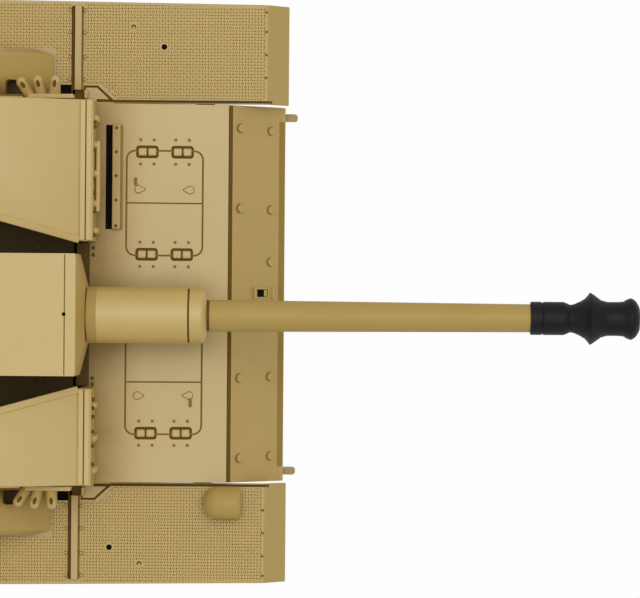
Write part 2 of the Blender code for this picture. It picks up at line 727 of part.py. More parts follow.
def tow_eye(side):
    """One of the two towing lugs that stand forward of the nose."""
    outer = HALF_HULL - SEAT_GAP
    inner = outer - TOW_EYE_WIDTH
    top = NOSE_TIP - SEAT_GAP - TOW_EYE_DROP
    low = (-NOSE_KNEE_BACK, side * inner, top - TOW_EYE_HEIGHT)
    return block(low, (TOW_EYE_LENGTH - NOSE_TIP_BACK, side * outer, top))


def upper_hull_outline():
    rear = HULL_REAR_BACK
    tail = rear - ENGINE_DECK_TAIL
    bottom = HULL_RIM + SEAT_GAP
    return [
        (-NOSE_TIP_BACK, NOSE_TIP),
        (-GLACIS_EDGE_BACK + GLACIS_GROOVE, GLACIS_EDGE - GLACIS_GROOVE),
        (-GLACIS_EDGE_BACK, GLACIS_EDGE),
        (-CASEMATE_FRONT_BACK, GLACIS_REAR),
        (-CASEMATE_REAR_BACK - SEAT_GAP, GLACIS_REAR),
        (-CASEMATE_REAR_BACK - SEAT_GAP, ENGINE_DECK),
        (-tail, ENGINE_DECK - ENGINE_DECK_FALL),
        (-rear, ENGINE_DECK - ENGINE_TAIL_FALL),
        (-rear, bottom),
        (-nose_plate_x(bottom), bottom),
    ]


def upper_hull_cavity():
    """The space under the glacis, the casemate's ring and the engine deck."""
    low = HULL_RIM - HULL_RIM_DROP
    inside = HALF_DECK - DECK_WALL
    tail = HULL_REAR_BACK - ENGINE_DECK_TAIL
    bulkhead = CASEMATE_REAR_BACK + SEAT_GAP + DECK_WALL
    outline = [
        (-nose_plate_x(HULL_RIM) - DECK_WALL, low),
        (-nose_plate_x(GLACIS_EDGE) - DECK_WALL, GLACIS_EDGE - GLACIS_WALL),
        (-CASEMATE_FRONT_BACK, GLACIS_REAR - DECK_WALL),
        (-bulkhead, GLACIS_REAR - DECK_WALL),
        (-bulkhead, ENGINE_DECK - ENGINE_DECK_WALL),
        (-tail, ENGINE_DECK - ENGINE_DECK_FALL - ENGINE_DECK_WALL),
        (-HULL_REAR_BACK + DECK_WALL, ENGINE_DECK - ENGINE_TAIL_FALL - ENGINE_DECK_WALL),
        (-HULL_REAR_BACK + DECK_WALL, low),
    ]
    return prism(outline, "Y", -inside, inside)


def make_upper_hull(material):
    """Nose plate, glacis, the ring that the casemate stands on, and the engine deck with its intakes."""
    base = prism(upper_hull_outline(), "Y", -HALF_DECK, HALF_DECK)
    cuts = [upper_hull_cavity()]
    opening_front = -CASEMATE_FRONT_BACK - DECK_OPENING_FRONT
    opening_rear = -CASEMATE_REAR_BACK + DECK_OPENING_REAR
    reach = HALF_DECK - DECK_OPENING_SIDE
    low = (opening_rear, -reach, GLACIS_REAR - DECK_WALL * 2)
    cuts.append(block(low, (opening_front, reach, GLACIS_REAR + DECK_WALL)))
    beam_top = cradle_plate_bottom() - SEAT_GAP
    half_beam = CRADLE_BEAM_WIDTH / 2
    inside = HALF_DECK - DECK_WALL / 2
    beam = block(
        (TRUNNION_X - half_beam, -inside, beam_top - CRADLE_BEAM_THICKNESS),
        (TRUNNION_X + half_beam, inside, beam_top),
    )
    pivot = (TRUNNION_X, -GUN_OFFSET, 0)
    pivot_hole = rod("Z", pivot, HULL_RIM, GLACIS_REAR, CRADLE_PIVOT_RADIUS + BORE_GAP)
    inserts = [beam, intake(1), intake(-1)]
    solid("upper_hull", material, base, [], cuts, inserts, [pivot_hole])


def intake(side):
    """Air intake box that overhangs a fender beside the engine deck."""
    front = -CASEMATE_REAR_BACK - INTAKE_SETBACK
    rear = front - INTAKE_LENGTH
    top = ENGINE_DECK - ENGINE_DECK_FALL
    bottom = FENDER_TOP + FENDER_RIB_RISE + SEAT_GAP
    inner, outer = HALF_DECK - DECK_WALL / 2, HALF_DECK + INTAKE_WIDTH
    section = [(inner, bottom), (outer, bottom), (outer, top - INTAKE_SLOPE), (inner, top)]
    return prism([(side * y, z) for y, z in section], "X", rear, front)


def fender_outline():
    """Side view of a fender: sloped front flap, flat run, sloped rear flap."""
    top, thick = FENDER_TOP, FENDER_THICKNESS
    upper = [
        (0, top - FLAP_DROP),
        (-FLAP_LENGTH, top),
        (-FENDER_REAR_BACK + REAR_FLAP_LENGTH, top),
        (-FENDER_REAR_BACK, top - REAR_FLAP_DROP),
    ]
    return upper + [(x, z - thick) for x, z in reversed(upper)]


def make_fender(side, material):
    """Track guard with its turned-down outer lip and the raised cross rib ahead of the casemate."""
    inner, outer = side * FENDER_INNER, side * FENDER_OUTER
    base = prism(fender_outline(), "Y", inner, outer)
    lip_front, lip_rear = -FLAP_LENGTH, -FENDER_REAR_BACK + REAR_FLAP_LENGTH
    lip = block(
        (lip_rear, side * (FENDER_OUTER - FENDER_LIP_WALL), FENDER_TOP - FENDER_LIP_DROP),
        (lip_front, outer, FENDER_TOP - FENDER_THICKNESS / 2),
    )
    half = FENDER_RIB_WIDTH / 2
    rib_end = side * (FENDER_OUTER - FENDER_LIP_WALL)
    rib_start = side * (FENDER_INNER + FENDER_LIP_WALL)
    rib = block(
        (-FENDER_RIB_BACK - half, rib_start, FENDER_TOP - FENDER_THICKNESS / 2),
        (-FENDER_RIB_BACK + half, rib_end, FENDER_TOP + FENDER_RIB_RISE),
    )
    solid("fender_" + side_name(side), material, base, [lip, rib])


def casemate_block_outline():
    """Side view of the casemate's middle: upright front plate, ramp, roof and rear wall."""
    front, rear = -CASEMATE_FRONT_BACK, -CASEMATE_REAR_BACK
    return [
        (front, GLACIS_REAR + SEAT_GAP),
        (front, PLATE_TOP),
        (front - FRONT_PLATE_LEDGE, PLATE_TOP),
        (-RAMP_END_BACK, ROOF),
        (rear, ROOF),
        (rear, GLACIS_REAR + SEAT_GAP),
    ]


def sponson_corners(wall=0, front_wall=0, roof_wall=0):
    """Corners of the wide part that leans in over both fenders, drawn in by its walls."""
    front = -CASEMATE_FRONT_BACK - SPONSON_SETBACK - front_wall
    rear = -CASEMATE_REAR_BACK + wall
    bottom = FENDER_TOP + FENDER_RIB_RISE + SEAT_GAP - wall
    top = ROOF - roof_wall
    half_low = HALF_DECK + SPONSON_WIDTH - wall
    half_top = half_low - SPONSON_LEAN
    top_front = -RAMP_END_BACK - front_wall
    long, wide = SPONSON_CHAMFER_LENGTH, SPONSON_CHAMFER_WIDTH
    corners = []
    for side in (1, -1):
        for x, half, z in ((front, half_low, bottom), (top_front, half_top, top)):
            corners += [(x, side * (half - wide), z), (x - long, side * half, z), (rear, side * half, z)]
    return corners


def gun_slot_outline():
    """Plan of the slot that the gun traverses in: narrow at the front plate and wider behind."""
    front, rear = -CASEMATE_FRONT_BACK, -CASEMATE_FRONT_BACK - GUN_SLOT_DEPTH
    middle, near, far = -GUN_OFFSET, GUN_SLOT_HALF_FRONT, GUN_SLOT_HALF_REAR
    ledge = front - FRONT_PLATE_LEDGE
    ahead = front + FRONT_PLATE_LEDGE
    left = [(ahead, middle + near), (ledge, middle + near), (rear, middle + far)]
    return left + [(x, 2 * middle - y) for x, y in reversed(left)]


def make_casemate(material):
    """The armoured upper body as one shell, open below, with the gun slot and the two roof hatchways."""
    base = prism(casemate_block_outline(), "Y", -HALF_DECK, HALF_DECK)
    wall = CASEMATE_WALL
    inside_front = -CASEMATE_FRONT_BACK - FRONT_PLATE_LEDGE
    inside = [
        (inside_front, GLACIS_REAR - wall),
        (inside_front, PLATE_TOP - wall),
        (-RAMP_END_BACK - wall / 2, ROOF - ROOF_WALL),
        (-CASEMATE_REAR_BACK + wall, ROOF - ROOF_WALL),
        (-CASEMATE_REAR_BACK + wall, GLACIS_REAR - wall),
    ]
    well = FENDER_INNER + SEAT_GAP
    rear = -CASEMATE_REAR_BACK - wall
    ahead = -CASEMATE_FRONT_BACK + wall
    cuts = [
        prism(inside, "Y", -HALF_DECK + wall, HALF_DECK - wall),
        skin_over(sponson_corners(wall, SPONSON_FRONT_WALL, ROOF_WALL)),
        block((rear, -well, FENDER_TOP - wall), (ahead, well, GLACIS_REAR + SEAT_GAP)),
        prism(gun_slot_outline(), "Z", GLACIS_REAR, ROOF + wall),
    ]
    below, above = ROOF - ROOF_WALL * 2, ROOF + ROOF_WALL
    cuts.append(rod("Z", (HATCH_X, CUPOLA_LEFT, 0), below, above, CUPOLA_BORE, WHEEL_FACETS))
    x, y = HATCH_X, -LOADER_RIGHT
    half_x, half_y = LOADER_FLAP_LENGTH - LOADER_LEDGE, LOADER_FLAP_WIDTH / 2 - LOADER_LEDGE
    cuts.append(block((x - half_x, y - half_y, below), (x + half_x, y + half_y, above)))
    solid("casemate", material, base, [skin_over(sponson_corners())], cuts)


def cradle_plate_bottom():
    return GLACIS_REAR - DECK_WALL - SEAT_GAP - CRADLE_PLATE_THICKNESS


def make_gun_cradle(material):
    """The traversing yoke: a base plate on its pivot pin, and two cheeks that hold the gun's trunnions."""
    bottom = cradle_plate_bottom()
    top = bottom + CRADLE_PLATE_THICKNESS
    half = CRADLE_PLATE_HALF_WIDTH
    middle = -GUN_OFFSET
    base = block(
        (TRUNNION_X - CRADLE_PLATE_REAR, middle - half, bottom),
        (TRUNNION_X + CRADLE_PLATE_FRONT, middle + half, top),
    )
    pin = rod("Z", (TRUNNION_X, middle, 0), bottom - CRADLE_PIVOT_LENGTH, top, CRADLE_PIVOT_RADIUS)
    joins, cuts = [pin], []
    outer = MANTLET_HALF_WIDTH - MANTLET_WALL - CRADLE_CHEEK_THICKNESS
    inner = outer - CRADLE_CHEEK_THICKNESS
    half_cheek = CRADLE_CHEEK_WIDTH / 2
    for side in (1, -1):
        low = (TRUNNION_X - half_cheek, middle + side * inner, bottom + CRADLE_PLATE_THICKNESS / 2)
        high = (TRUNNION_X + half_cheek, middle + side * outer, GUN_AXIS + half_cheek)
        joins.append(block(low, high))
    reach = MANTLET_HALF_WIDTH
    hole = TRUNNION_RADIUS + BORE_GAP
    cuts.append(rod("Y", (TRUNNION_X, 0, GUN_AXIS), middle - reach, middle + reach, hole))
    solid("gun_cradle", material, base, joins, cuts, origin=(TRUNNION_X, middle, GUN_AXIS))


def mantlet_corners():
    """Corners of the box mantlet: flat sides and top, with a front that narrows to a raised nose."""
    front, rear = MANTLET_FRONT_X, MANTLET_FRONT_X - MANTLET_LENGTH
    top, bottom = GUN_AXIS + MANTLET_ABOVE, GUN_AXIS - MANTLET_BELOW
    shoulder, nose = front - MANTLET_NOSE, front + MANTLET_NOSE
    corners = []
    for side in (1, -1):
        y = -GUN_OFFSET + side * MANTLET_HALF_WIDTH
        nose_y = -GUN_OFFSET + side * MANTLET_NOSE_HALF_WIDTH
        corners += [(rear, y, top), (rear, y, bottom), (shoulder, y, top), (shoulder, y, bottom)]
        for z in (GUN_AXIS + MANTLET_NOSE_HALF_HEIGHT, GUN_AXIS - MANTLET_NOSE_HALF_HEIGHT):
            corners += [(front, y, z), (nose, nose_y, z)]
    return corners


def make_gun(paint, black):
    """Box mantlet on its trunnions, recoil sleeve, barrel and muzzle brake, which elevate together."""
    middle = (0, -GUN_OFFSET, GUN_AXIS)
    origin = (TRUNNION_X, -GUN_OFFSET, GUN_AXIS)
    rear = MANTLET_FRONT_X - MANTLET_LENGTH
    inside = MANTLET_HALF_WIDTH - MANTLET_WALL
    hollow_front = MANTLET_FRONT_X - MANTLET_FRONT_WALL
    hollow = block(
        (rear - MANTLET_WALL, -GUN_OFFSET - inside, GUN_AXIS - MANTLET_BELOW - MANTLET_WALL),
        (hollow_front, -GUN_OFFSET + inside, GUN_AXIS + MANTLET_ABOVE - MANTLET_WALL),
    )
    spigot_low = hollow_front + SEAT_GAP
    seat = SLEEVE_SPIGOT_RADIUS + BORE_GAP
    seat_hole = rod("X", middle, hollow_front - MANTLET_WALL, SLEEVE_START_X + MANTLET_NOSE, seat)
    cheek_outer = inside - CRADLE_CHEEK_THICKNESS * 2
    pins = []
    for side in (1, -1):
        low = -GUN_OFFSET + side * cheek_outer
        high = -GUN_OFFSET + side * (inside + MANTLET_WALL / 2)
        pins.append(rod("Y", (TRUNNION_X, 0, GUN_AXIS), low, high, TRUNNION_RADIUS))
    shell = skin_over(mantlet_corners())
    solid("gun_mantlet", paint, shell, [], [hollow, seat_hole], pins, origin=origin)
    ring_x = SLEEVE_END_X - SLEEVE_RING_LENGTH
    socket = BARREL_RADIUS + BORE_GAP
    sleeve = [
        (0, spigot_low),
        (SLEEVE_SPIGOT_RADIUS, spigot_low),
        (SLEEVE_SPIGOT_RADIUS, SLEEVE_START_X),
        (SLEEVE_RADIUS, SLEEVE_START_X),
        (SLEEVE_RADIUS, ring_x - SLEEVE_GROOVE),
        (SLEEVE_RADIUS - SLEEVE_GROOVE, ring_x),
        (SLEEVE_RADIUS, ring_x + SLEEVE_GROOVE),
        (SLEEVE_RADIUS, SLEEVE_END_X - SLEEVE_SHOULDER),
        (socket + SLEEVE_GROOVE, SLEEVE_END_X),
        (socket, SLEEVE_END_X),
        (socket, SLEEVE_END_X - BARREL_ROOT - SEAT_GAP),
        (0, SLEEVE_END_X - BARREL_ROOT - SEAT_GAP),
    ]
    solid("gun_sleeve", paint, turned(sleeve, "X", middle, BARREL_FACETS), origin=origin)
    barrel = [
        (BORE_RADIUS, SLEEVE_END_X - BARREL_ROOT),
        (BARREL_RADIUS, SLEEVE_END_X - BARREL_ROOT),
        (BARREL_RADIUS, SLEEVE_END_X),
        (BARREL_MUZZLE_RADIUS, BARREL_END_X),
        (BARREL_SPIGOT_RADIUS, BARREL_END_X),
        (BARREL_SPIGOT_RADIUS, BARREL_END_X + BARREL_SPIGOT_LENGTH),
        (BORE_RADIUS, BARREL_END_X + BARREL_SPIGOT_LENGTH),
    ]
    solid("gun_barrel", paint, turned(barrel, "X", middle, BARREL_FACETS), origin=origin)
    solid("muzzle_brake", black, turned(brake_profile(), "X", middle, BARREL_FACETS), origin=origin)


def brake_profile():
    """Half section of the muzzle brake: collar, waist, sharp flange, neck and end flange."""
    seat = BARREL_SPIGOT_RADIUS + BORE_GAP
    seat_end = BARREL_SPIGOT_LENGTH + SEAT_GAP
    profile = [
        (seat, 0),
        (BRAKE_COLLAR_RADIUS, 0),
        (BRAKE_COLLAR_RADIUS, BRAKE_COLLAR_LENGTH),
        (BRAKE_WAIST_RADIUS, BRAKE_WAIST_AT),
        (BRAKE_NECK_RADIUS, BRAKE_FLANGE_AT - BRAKE_FLANGE_SLOPE),
        (BRAKE_FLANGE_RADIUS, BRAKE_FLANGE_AT),
        (BRAKE_NECK_RADIUS, BRAKE_NECK_START),
        (BRAKE_NECK_RADIUS, BRAKE_NECK_END),
        (BRAKE_END_RADIUS, BRAKE_END_AT),
        (BRAKE_MOUTH_RADIUS, BRAKE_LENGTH),
        (BORE_RADIUS, BRAKE_LENGTH),
        (BORE_RADIUS, seat_end),
        (seat, seat_end),
    ]
    start = BARREL_END_X + SEAT_GAP
    return [(radius, start + along) for radius, along in profile]


def make_hatches(paint):
    """Commander's cupola with its lid, and the loader's two flaps."""
    x, y = HATCH_X, CUPOLA_LEFT
    base = ROOF + SEAT_GAP
    top = base + CUPOLA_HEIGHT
    ring = [
        (CUPOLA_BORE, base),
        (CUPOLA_RADIUS, base),
        (CUPOLA_RADIUS, base + CUPOLA_SHOULDER),
        (CUPOLA_TOP_RADIUS, top),
        (CUPOLA_BORE, top),
    ]
    solid("commander_cupola", paint, turned(ring, "Z", (x, y, 0)))
    lid_low = top + SEAT_GAP
    lid = [
        (0, lid_low),
        (CUPOLA_TOP_RADIUS, lid_low),
        (CUPOLA_TOP_RADIUS, lid_low + HATCH_EDGE),
        (HATCH_CROWN_RADIUS, lid_low + HATCH_THICKNESS),
        (0, lid_low + HATCH_THICKNESS),
    ]
    hinge = (x - CUPOLA_TOP_RADIUS, y, lid_low)
    solid("commander_hatch", paint, turned(lid, "Z", (x, y, 0)), origin=hinge)
    hatch_x, hatch_y = HATCH_X, -LOADER_RIGHT
    half = LOADER_FLAP_WIDTH / 2
    low = ROOF + SEAT_GAP
    for name, ahead in (("loader_hatch_front", 1), ("loader_hatch_rear", -1)):
        split = hatch_x + ahead * DOOR_GAP / 2
        edge = hatch_x + ahead * LOADER_FLAP_LENGTH
        flap = block((split, hatch_y - half, low), (edge, hatch_y + half, low + LOADER_FLAP_THICKNESS))
        solid(name, paint, flap, origin=(edge, hatch_y, low + LOADER_FLAP_THICKNESS))


def make_smoke_dischargers(side, material):
    """A bracket on the casemate's side with three open tubes fanned outwards and up."""
    near = HALF_DECK + SEAT_GAP
    far = near + SMOKE_BRACKET_THICKNESS
    front = -CASEMATE_FRONT_BACK - SMOKE_BRACKET_SETBACK
    rear = front - SMOKE_BRACKET_LENGTH
    top = PLATE_TOP - SEAT_GAP
    bracket = block((rear, side * near, top - SMOKE_BRACKET_HEIGHT), (front, side * far, top))
    joins, cuts = [], []
    for index, fan in enumerate(SMOKE_TUBE_FAN):
        foot_x = front - SMOKE_TUBE_START - SMOKE_TUBE_PITCH * index
        foot = Vector((foot_x, side * (near + SMOKE_BRACKET_THICKNESS / 2), top - SMOKE_BRACKET_HEIGHT / 2))
        rise, level = math.sin(SMOKE_TUBE_RISE), math.cos(SMOKE_TUBE_RISE)
        way = Vector((level * math.sin(fan), side * level * math.cos(fan), rise))
        turn_to = Vector((0, 0, 1)).rotation_difference(way).to_matrix().to_4x4()
        place = Matrix.Translation(foot) @ turn_to
        tube = rod("Z", (0, 0, 0), 0, SMOKE_TUBE_LENGTH, SMOKE_TUBE_RADIUS)
        tube.transform(place)
        bore_low, bore_high = SMOKE_TUBE_LENGTH - SMOKE_BORE_DEPTH, SMOKE_TUBE_LENGTH + SMOKE_TUBE_RADIUS
        bore = rod("Z", (0, 0, 0), bore_low, bore_high, SMOKE_TUBE_BORE)
        bore.transform(place)
        joins.append(tube)
        cuts.append(bore)
    wall = block((rear * 2, 0, HULL_RIM), (0, side * near, ROOF))
    solid("smoke_dischargers_" + side_name(side), material, bracket, joins, [*cuts, wall])


def make_headlight(material):
    """The single lamp housing on the right fender, cut flat where it sits."""
    z = FENDER_TOP + SEAT_GAP + LAMP_RADIUS - LAMP_SINK
    y = -(FENDER_INNER + LAMP_INSET + LAMP_RADIUS)
    front = -LAMP_BACK
    rear = front - LAMP_LENGTH
    reach = LAMP_RADIUS * 2
    profile = [(0, front), (LAMP_RADIUS - LAMP_BEVEL, front), (LAMP_RADIUS, front - LAMP_BEVEL)]
    for step in range(LAMP_ARC_STEPS):
        angle = math.pi / 2 * step / LAMP_ARC_STEPS
        along = rear + LAMP_RADIUS * (1 - math.sin(angle))
        profile.append((LAMP_RADIUS * math.cos(angle), along))
    profile.append((0, rear))
    foot = block((rear - reach, y - reach, 0), (front + reach, y + reach, FENDER_TOP + SEAT_GAP))
    solid("headlight", material, turned(profile, "X", (0, y, z)), [], [foot])


def gearbox_outer_face():
    return HALF_HULL - HULL_WALL - SEAT_GAP


def make_gearbox(side, material):
    """Drive unit: gear case with a blind bore for the sprocket's axle, and its motor behind."""
    outer = gearbox_outer_face()
    inner = outer - GEARBOX_WIDTH
    bottom = BELLY_FLOOR + NOSE_KNEE_RISE + SEAT_GAP
    front = -SPROCKET_BACK + SPROCKET_AXLE_RADIUS * 2
    rear = front - GEARBOX_LENGTH
    case = block((rear, side * inner, bottom), (front, side * outer, bottom + GEARBOX_HEIGHT))
    motor_z = bottom + GEARBOX_HEIGHT / 2
    motor_y = side * (inner + GEARBOX_WIDTH / 2)
    motor = rod("X", (0, motor_y, motor_z), rear - MOTOR_LENGTH, rear + MOTOR_RADIUS, MOTOR_RADIUS)
    axle = (-SPROCKET_BACK, 0, SPROCKET_HEIGHT)
    bore_low = side * (outer - GEARBOX_WIDTH / 2 - SEAT_GAP)
    bore = rod("Y", axle, bore_low, side * (outer + HULL_WALL), SPROCKET_AXLE_RADIUS + BORE_GAP)
    solid("gearbox_" + side_name(side), material, case, [motor], [bore])


def make_belly_fittings(paint, black, blue):
    """Battery door, the battery that stands over it and the slide switch."""
    (rear, right), (front, left) = belly_opening(0)
    door = block((rear, right, BELLY_CLEARANCE), (front, left, BELLY_FLOOR))
    solid("battery_door", paint, door, origin=(front, 0, BELLY_CLEARANCE))
    bottom = BELLY_FLOOR + SEAT_GAP
    half = BATTERY_WIDTH / 2
    pack_low = (-BATTERY_BACK - BATTERY_LENGTH, -half, bottom)
    pack = block(pack_low, (-BATTERY_BACK, half, bottom + BATTERY_HEIGHT))
    solid("battery_pack", blue, pack)
    half_x, half_y = SWITCH_KNOB_LENGTH / 2, SWITCH_KNOB_WIDTH / 2
    x, y = -SWITCH_BACK, SWITCH_LEFT
    low, seat = BELLY_CLEARANCE - SWITCH_PROUD, BELLY_FLOOR + SEAT_GAP
    thick = SWITCH_FLANGE_THICKNESS
    knob = block((x - half_x, y - half_y, low), (x + half_x, y + half_y, seat + thick / 2))
    reach_x, reach_y = half_x + SWITCH_FLANGE, half_y + SWITCH_FLANGE
    flange = block((x - reach_x, y - reach_y, seat), (x + reach_x, y + reach_y, seat + thick))
    solid("power_switch", black, knob, [flange], origin=(x, y, BELLY_CLEARANCE))


def make_control_board(material):
    """Circuit board on four posts, with its largest components."""
    front, rear = -BOARD_BACK, -BOARD_BACK - BOARD_LENGTH
    half = BOARD_WIDTH / 2
    floor = BELLY_FLOOR + SEAT_GAP
    low = floor + BOARD_POST_HEIGHT
    top = low + BOARD_THICKNESS
    board = block((rear, -half, low), (front, half, top))
    inset = BOARD_POST_INSET
    joins = []
    for x in (front - inset, rear + inset):
        for y in (half - inset, inset - half):
            joins.append(rod("Z", (x, y, 0), floor, low + BOARD_THICKNESS / 2, BOARD_POST_RADIUS))
    middle = (front + rear) / 2
    for x, y in ((middle + CHIP_LENGTH, -CHIP_WIDTH), (middle - CHIP_LENGTH, CHIP_WIDTH)):
        corner = (x - CHIP_LENGTH / 2, y - CHIP_WIDTH / 2, top - BOARD_THICKNESS / 2)
        joins.append(block(corner, (x + CHIP_LENGTH / 2, y + CHIP_WIDTH / 2, top + CHIP_HEIGHT)))
    solid("control_board", material, board, joins)


def engine_deck_underside(back):
    """Height of the cavity's ceiling under the engine deck at a distance back."""
    start = CASEMATE_REAR_BACK + SEAT_GAP + DECK_WALL
    run = HULL_REAR_BACK - ENGINE_DECK_TAIL - start
    return ENGINE_DECK - ENGINE_DECK_WALL - ENGINE_DECK_FALL * (back - start) / run


def make_speaker(material):
    """Sound speaker screwed up against the engine deck's underside."""
    top = engine_deck_underside(SPEAKER_BACK + SPEAKER_RADIUS) - SEAT_GAP
    profile = [
        (0, top),
        (SPEAKER_RADIUS, top),
        (SPEAKER_RADIUS, top - SPEAKER_RIM),
        (SPEAKER_MAGNET_RADIUS, top - SPEAKER_HEIGHT + SPEAKER_MAGNET_HEIGHT),
        (SPEAKER_MAGNET_RADIUS, top - SPEAKER_HEIGHT),
        (0, top - SPEAKER_HEIGHT),
    ]
    solid("speaker", material, turned(profile, "Z", (-SPEAKER_BACK, 0, 0)))


def make_tank():
    tank = bpy.data.objects.new("tank", None)
    bpy.context.scene.collection.objects.link(tank)
    tank.location.x = TANK_SHIFT
    paint = finish_material("sand_paint", (0.50, 0.39, 0.17), 0.55)
    black = finish_material("black_plastic", (0.024, 0.024, 0.023), 0.45)
    rubber = finish_material("dark_wheel", (0.07, 0.06, 0.045), 0.7)
    steel = finish_material("arm_plastic", (0.05, 0.045, 0.04), 0.5)
    links = finish_material("track_links", (0.06, 0.055, 0.05), 0.6)
    blue = finish_material("battery_wrap", (0.05, 0.12, 0.35), 0.4)
    green = finish_material("circuit_board", (0.03, 0.18, 0.07), 0.5)
    grey = finish_material("gear_case", (0.35, 0.35, 0.34), 0.5)
    make_lower_hull(paint)
    make_upper_hull(paint)
    make_casemate(paint)
    make_gun_cradle(black)
    make_gun(paint, black)
    make_hatches(paint)
    make_headlight(paint)
    make_belly_fittings(paint, black, blue)
    make_control_board(green)
    make_speaker(black)
    for side in (1, -1):
        make_fender(side, paint)
        make_smoke_dischargers(side, paint)
        make_gearbox(side, grey)
        make_sprocket(side, paint)
        make_idler(side, paint)
        make_return_rollers(side, paint)
        make_suspension(side, steel, rubber)
        make_track(side, links)


def clear_scene():
    for item in list(bpy.data.objects):
        bpy.data.objects.remove(item)


clear_scene()
make_tank()
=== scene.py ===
"""Finishes a remote-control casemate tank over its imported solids, in metres.

Places are given as on the bench: x back from the fenders' front edge (negative), y to the
tank's left and z up from the ground. hull_point turns them into the shared frame.
"""

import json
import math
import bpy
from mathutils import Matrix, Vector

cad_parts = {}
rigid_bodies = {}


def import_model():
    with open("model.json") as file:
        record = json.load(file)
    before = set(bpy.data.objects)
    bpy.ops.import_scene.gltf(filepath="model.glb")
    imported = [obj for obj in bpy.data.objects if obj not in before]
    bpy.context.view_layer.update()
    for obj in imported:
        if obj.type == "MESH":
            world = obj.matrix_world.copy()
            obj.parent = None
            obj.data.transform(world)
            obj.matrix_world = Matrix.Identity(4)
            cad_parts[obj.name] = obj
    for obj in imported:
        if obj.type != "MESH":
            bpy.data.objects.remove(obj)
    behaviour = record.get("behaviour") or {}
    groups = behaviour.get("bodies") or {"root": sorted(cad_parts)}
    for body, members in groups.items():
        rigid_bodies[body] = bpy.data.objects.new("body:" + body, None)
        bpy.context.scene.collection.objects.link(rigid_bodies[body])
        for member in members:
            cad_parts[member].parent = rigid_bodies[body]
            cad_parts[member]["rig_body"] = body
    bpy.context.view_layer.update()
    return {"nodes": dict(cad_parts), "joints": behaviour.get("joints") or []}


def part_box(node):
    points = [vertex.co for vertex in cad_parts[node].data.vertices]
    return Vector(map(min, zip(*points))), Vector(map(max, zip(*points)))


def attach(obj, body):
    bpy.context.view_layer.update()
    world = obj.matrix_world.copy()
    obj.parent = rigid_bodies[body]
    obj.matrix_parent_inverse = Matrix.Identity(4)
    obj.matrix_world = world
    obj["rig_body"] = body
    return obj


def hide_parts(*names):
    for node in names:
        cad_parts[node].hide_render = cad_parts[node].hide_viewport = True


bl_info = {
    "name": "Casemate Tank Finish",
    "version": (1, 0, 0),
    "blender": (4, 5, 0),
    "location": "View3D > Sidebar > Tank",
    "description": "Dresses a remote-control casemate tank with fittings, wheels, tracks and paint",
    "category": "Object",
}

import bpy
from bpy.props import FloatProperty, FloatVectorProperty, IntProperty, PointerProperty
from mathutils import Matrix, Vector

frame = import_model()

SIDES = (("left", 1), ("right", -1))
ORIGIN = (0, 0, 0)
PAD_BEVEL = 0.12
HEAD_BEVEL = 0.55
SMOOTH_ANGLE = math.radians(32)
JOINTS = {joint["name"]: joint for joint in frame["joints"]}

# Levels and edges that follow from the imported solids
RIB_RISE = 0.0014
FENDER_LOW, FENDER_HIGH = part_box("fender_left")
FRONT = FENDER_HIGH.x
FENDER_TOP = FENDER_HIGH.z - RIB_RISE
FENDER_INNER = FENDER_LOW.y
FENDER_OUTER = FENDER_HIGH.y
FENDER_REAR = FENDER_LOW.x - FRONT
FLAP_BACK = -0.0068
REAR_FLAP_LENGTH = 0.012
HALF_DECK = FENDER_INNER - 0.0003
CASEMATE_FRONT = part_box("casemate")[1].x - FRONT
CASEMATE_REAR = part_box("casemate")[0].x - FRONT
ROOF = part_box("casemate")[1].z
GUN_PIVOT = Vector(JOINTS["gun_elevation"]["pos_m"])
GUN_Y = GUN_PIVOT.y
GUN_AXIS = GUN_PIVOT.z
GUN_LINE = Vector((0, GUN_Y, GUN_AXIS))
MANTLET_LOW, MANTLET_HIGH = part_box("gun_mantlet")
SLEEVE_LOW, SLEEVE_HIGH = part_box("gun_sleeve")
BRAKE_LOW, BRAKE_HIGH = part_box("muzzle_brake")
TRACK_LOW, TRACK_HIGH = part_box("track_left")
TRACK_MIDDLE = (TRACK_LOW.y + TRACK_HIGH.y) / 2
HULL_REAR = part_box("upper_hull")[0].x - FRONT
ENGINE_DECK = FENDER_TOP + 0.0200

# Sloped plates as (x, z) from their front edge to their rear edge
NOSE_PLATE = ((-0.0010, FENDER_TOP - 0.0135), (-0.0181, FENDER_TOP + 0.0014))
GLACIS = (NOSE_PLATE[1], (CASEMATE_FRONT, FENDER_TOP + 0.0062))
PLATE_TOP = GLACIS[1][1] + 0.0200
RAMP = ((CASEMATE_FRONT - 0.0042, PLATE_TOP), (CASEMATE_FRONT - 0.0494, ROOF))
ENGINE_PLATE = ((CASEMATE_REAR - 0.0003, ENGINE_DECK), (HULL_REAR + 0.018, ENGINE_DECK - 0.0060))


def colour_setting(name, description, value):
    """A colour swatch of the settings."""
    return FloatVectorProperty(
        name=name, description=description, subtype="COLOR", default=value, min=0, max=1
    )


def length_setting(name, description, value, low, high):
    """A length of the settings, in metres."""
    return FloatProperty(
        name=name, description=description, subtype="DISTANCE", default=value, min=low, max=high
    )


